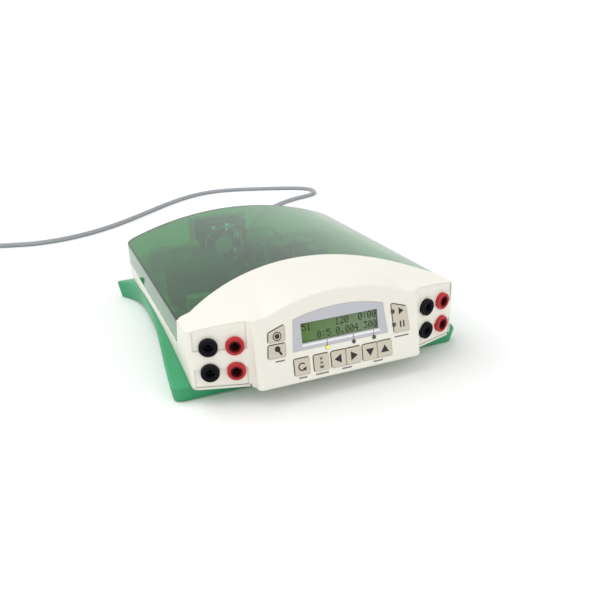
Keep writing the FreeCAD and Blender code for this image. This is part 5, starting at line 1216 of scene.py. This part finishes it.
@dataclass(frozen=True)
class Rear:
    """What shows from behind: the two marks on the rocker, and the collars of the two strain reliefs."""

    across: Point = (-1.0, 0.0, 0.0)
    up: Point = (0.0, 0.0, 1.0)
    panel: float = 162.0
    facing: float = 0.9
    level: float = 0.1
    bar: Spot = (1.1, 4.2)
    ring: Spot = (2.0, 0.8)
    collars: int = 6
    first: float = 0.7
    collar: Spot = (1.3, 2.0)
    tip_depth: float = 0.1

    def rocker_faces(self, item: bpy.types.Object) -> list[Face]:
        """The rocker's two faces, the pressed one first.

        Args:
            item: The rocker's own node.

        Returns:
            The two planes, from the node's mesh.
        """
        shown = [p for p in item.data.polygons if p.normal.y > self.facing and p.center.y > self.panel * MM]
        flat = [p for p in shown if abs(p.normal.z) < self.level]
        tilted = [p for p in shown if abs(p.normal.z) >= self.level]
        found = []
        for members in (flat, tilted):
            area = sum(p.area for p in members)
            out = sum((p.normal * p.area for p in members), Vector()).normalized()
            place = sum((p.center * p.area for p in members), Vector()) / area / MM
            found.append(Face(tuple(place), self.across, tuple(out.cross(Vector(self.across)))))
        return sorted(found, key=lambda face: face.origin[1])

    def relief_collars(self, item: bpy.types.Object) -> None:
        """Put collars along a strain relief, each as wide as the relief is there.

        Args:
            item: The relief's own node, with its thick end at the lower Y.
        """
        places = [v.co / MM for v in item.data.vertices]
        low, high = (Vector([pick(p[i] for p in places) for i in range(3)]) for pick in (min, max))
        middle = (low + high) / 2
        thick = (high.x - low.x) / 2
        thin = max(abs(p.x - middle.x) for p in places if p.y > high.y - self.tip_depth)
        width, height = self.collar
        for i in range(self.collars):
            along = (i + self.first) / self.collars
            face = Face((middle.x, low.y + (high.y - low.y) * along, middle.z), self.across, self.up)
            radius = thick + (thin - thick) * along
            piece = f"{item.name}_collar_{i + 1}"
            band = Stencil().ring((0, 0), radius, width).data(piece, face, -height / 2, height)
            link(piece, band, Stock.CORD)

    def build(self, nodes: dict[str, bpy.types.Object]) -> None:
        """Mark the rocker and rib the reliefs.

        Args:
            nodes: The frame's own nodes by name.
        """
        pressed, raised = self.rocker_faces(nodes["power_rocker"])
        on = Stencil().bar((0, 0), *self.bar).data("rocker_on", raised, SURFACE_GAP, INK_THICK)
        link("rocker_on", on, Stock.SILL, body="power_rocker")
        off = Stencil().ring((0, 0), *self.ring).data("rocker_off", pressed, SURFACE_GAP, INK_THICK)
        link("rocker_off", off, Stock.SILL, body="power_rocker")
        for name in ("cord_relief", "plug_relief"):
            self.relief_collars(nodes[name])


@dataclass(frozen=True)
class Inside:
    """Parts of the works that show through the cover: the cans' bare tops, the fan's label, and a painted
    highlight ring on the fan.
    """

    cans: tuple[Spot, ...] = ((42.0, 95.0), (76.0, 95.0), (76.0, 60.0))
    top: float = 62.6
    radius: float = 12.6
    fan: Point = (-20.0, 135.5, 58.0)
    ring_highlight: Spot = (24.0, 2.2)
    ring_highlight_thick: float = 1.2
    label: float = 11.5

    def build(self) -> None:
        """Cap the capacitors, and lay the painted highlight ring and the label on the fan's inner face."""
        inward = Face(self.fan, (1.0, 0.0, 0.0), (0.0, 0.0, 1.0))
        # Painted highlight: a pale ring on the fan's inner face, where its frame's ring catches the light
        ring_highlight = Stencil().ring((0, 0), *self.ring_highlight).data("painted_fan_ring_highlight", inward, SURFACE_GAP, self.ring_highlight_thick)
        link("painted_fan_ring_highlight", ring_highlight, Stock.PALE_WIRE)
        label = Stencil().disc((0, 0), self.label).data("fan_label", inward, SURFACE_GAP, INK_THICK)
        link("fan_label", label, Stock.SILL)
        plane = Face((0.0, 0.0, self.top), (1.0, 0.0, 0.0), (0.0, 1.0, 0.0))
        caps = Stencil()
        for spot in self.cans:
            caps.disc(spot, self.radius)
        link("capacitor_tops", caps.data("capacitor_tops", plane, SURFACE_GAP, INK_THICK), Stock.CAN)


@dataclass(frozen=True)
class Body:
    """The frame's own nodes, each in the finish that the real part has."""

    stock: dict[str, tuple[str, ...]] = field(default_factory=lambda: NODE_STOCK)

    def build(self, nodes: dict[str, bpy.types.Object]) -> None:
        """Dress every node that keeps its CAD shape.

        Args:
            nodes: The frame's own nodes by name.
        """
        for name, members in self.stock.items():
            for member in members:
                dress(nodes[member], Stock[name])
        for name, item in nodes.items():
            if name.startswith("key_") and name != "key_switches":
                dress(item, Stock.KEY)
            if is_socket(name):
                dress(item, Stock.JACK_RED if name.endswith("red") else Stock.JACK_BLACK)


def main() -> None:
    """Build the looks round the frame."""
    logging.basicConfig(level=logging.INFO, format="%(name)s %(message)s")
    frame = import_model()
    nodes = frame["nodes"]
    Studio().build()
    MainsLead().build()
    Body().build(nodes)
    Display().build()
    Keypad().build(nodes)
    Jacks().build(nodes)
    Rear().build(nodes)
    Inside().build()


if __name__ == "__main__":
    main()
